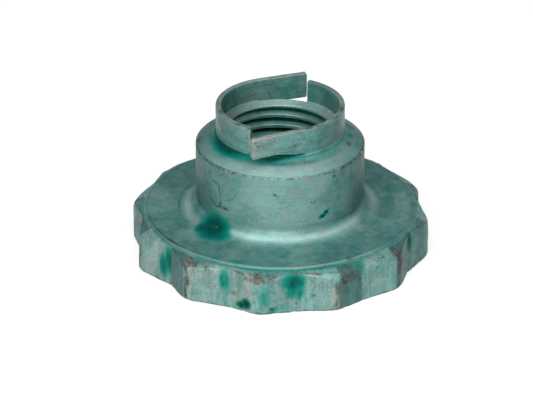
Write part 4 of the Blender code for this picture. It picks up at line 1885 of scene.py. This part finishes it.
# Hot-forged steel, plated: uneven, matt, pale, with upright streaks where the dip drained.
FORGED = LacqueredZinc(
    name="forged_lacquered_zinc",
    lay=Lay.DRAWN,
    seed=1.0,
    film="#6ba49f",
    deep_film="#4c8985",
    plating_and_highlight="#9ca49e",
    grime="#302926",
    soiled_and_shaded="#2c4d4a",
    fleck="#94887f",
    metallic=0.25,
    roughness=0.48,
    mark_pitch=1.1,
    mark_depth=0.03,
    mark_tint=0.3,
    grain_size=0.6,
    grain_depth=0.03,
    blotch_size=3.5,
    patch_size=5.0,
    patch_share=0.8,
    splash_share=0.6,
    speck_share=0.7,
    speck_start=0.645,
    fleck_share=0.45,
    fleck_size=0.8,
    fleck_start=1.08,
)

# Turned steel, plated: smooth, with fine rings that only tint the reflection.
TURNED = LacqueredZinc(
    name="turned_lacquered_zinc",
    lay=Lay.TURNED,
    seed=2.0,
    film="#558d88",
    deep_film="#3e7774",
    plating_and_highlight="#99b9b5",
    run="#0a776c",
    pooled="#03443e",
    soiled_and_shaded="#164343",
    fleck="#bdb0a8",
    metallic=0.3,
    roughness=0.45,
    specular=0.17,
    run_specular=0.05,
    mark_tint=0.16,
    patch_share=0.35,
    haze_share=0.48,
    crack_share=0.25,
    fleck_share=0.8,
    fray=0.35,
    fray_size=2.0,
    run_edge=(0.1, 0.66),
    deep_edge=(0.4, 1.15),
)

# Sleeve steel, turned, brushed and plated: level brush lines, thinner film.
BRUSHED = LacqueredZinc(
    name="brushed_lacquered_zinc",
    lay=Lay.BRUSHED,
    seed=3.0,
    film="#5c938e",
    deep_film="#437a76",
    plating_and_highlight="#a7aaa4",
    soiled_and_shaded="#0e4644",
    fleck="#ada29a",
    mark_pitch=0.5,
    mark_depth=0.012,
    mark_tint=0.32,
    blotch_size=4.0,
    patch_share=0.28,
)

# Thread cut in the sleeve, plated: brighter crests, dark grooves.
THREADED = LacqueredZinc(
    name="threaded_lacquered_zinc",
    lay=Lay.BRUSHED,
    seed=4.0,
    film="#729993",
    deep_film="#4e8580",
    plating_and_highlight="#94b3ad",
    run="#0a6b60",
    metallic=0.45,
    roughness=0.36,
    mark_pitch=0.4,
    blotch_size=4.0,
    patch_share=0.45,
    speck_share=0.2,
    crack_share=0.2,
)

TONGUES = (
    Tongue(
        Side.FRONT,
        spread=3.5,
        longer=0.9 * MM,
        foot_rise=1.2 * MM,
        tip_rub=0.75,
        stains=(
            Spot(-16.5, 21.6, 39.8, 1.8, 0.6, 0.64),
            Spot(-13.8, 21.7, 38.9, 1.5, 0.6, 0.6),
            Spot(14.6, 16.9, 37.0, 1.6, 0.7, 0.56),
        ),
    ),
    Tongue(Side.REAR, spread=-3.5, longer=-0.25 * MM, foot_rise=-0.25 * MM, tip_rub=0.2),
)


def main() -> None:
    """Build the nut's pieces in order, report each, then build the studio."""
    logging.basicConfig(level=logging.INFO, format="%(name)s: %(message)s")
    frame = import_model()
    nodes = frame["nodes"]
    roots = {joint["child"]: Vector(joint["pos_m"]) for joint in frame["joints"]}
    hub = Reach.of_node(nodes["flanged_hub"])
    ring = GripRing(Reach.of_node(nodes["grip_ring"]), hub.outer)
    sizes = CollarSizes(Reach.of_node(nodes["threaded_sleeve"]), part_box("front_tongue")[0].z)
    pieces = [
        ring.build("forged_grip_ring", FORGED.make()),
        FlangedHub(hub).build("turned_flanged_hub", TURNED.make()),
        ThreadedBush(sizes).build("threaded_bush", THREADED.make()),
    ]
    brushed = BRUSHED.make()
    for tongue in TONGUES:
        root = roots[tongue.body]
        tip = max((vertex.co.xy - root.xy).length for vertex in nodes[tongue.body].data.vertices)
        half = HalfCollar(sizes, tongue, root, tip)
        pieces.append(half.build(tongue.side.name.lower() + "_half_collar", brushed))
    for piece in pieces:
        LOG.info("%s has %d faces", piece.name, len(piece.data.polygons))
    Studio().build()


if __name__ == "__main__":
    main()
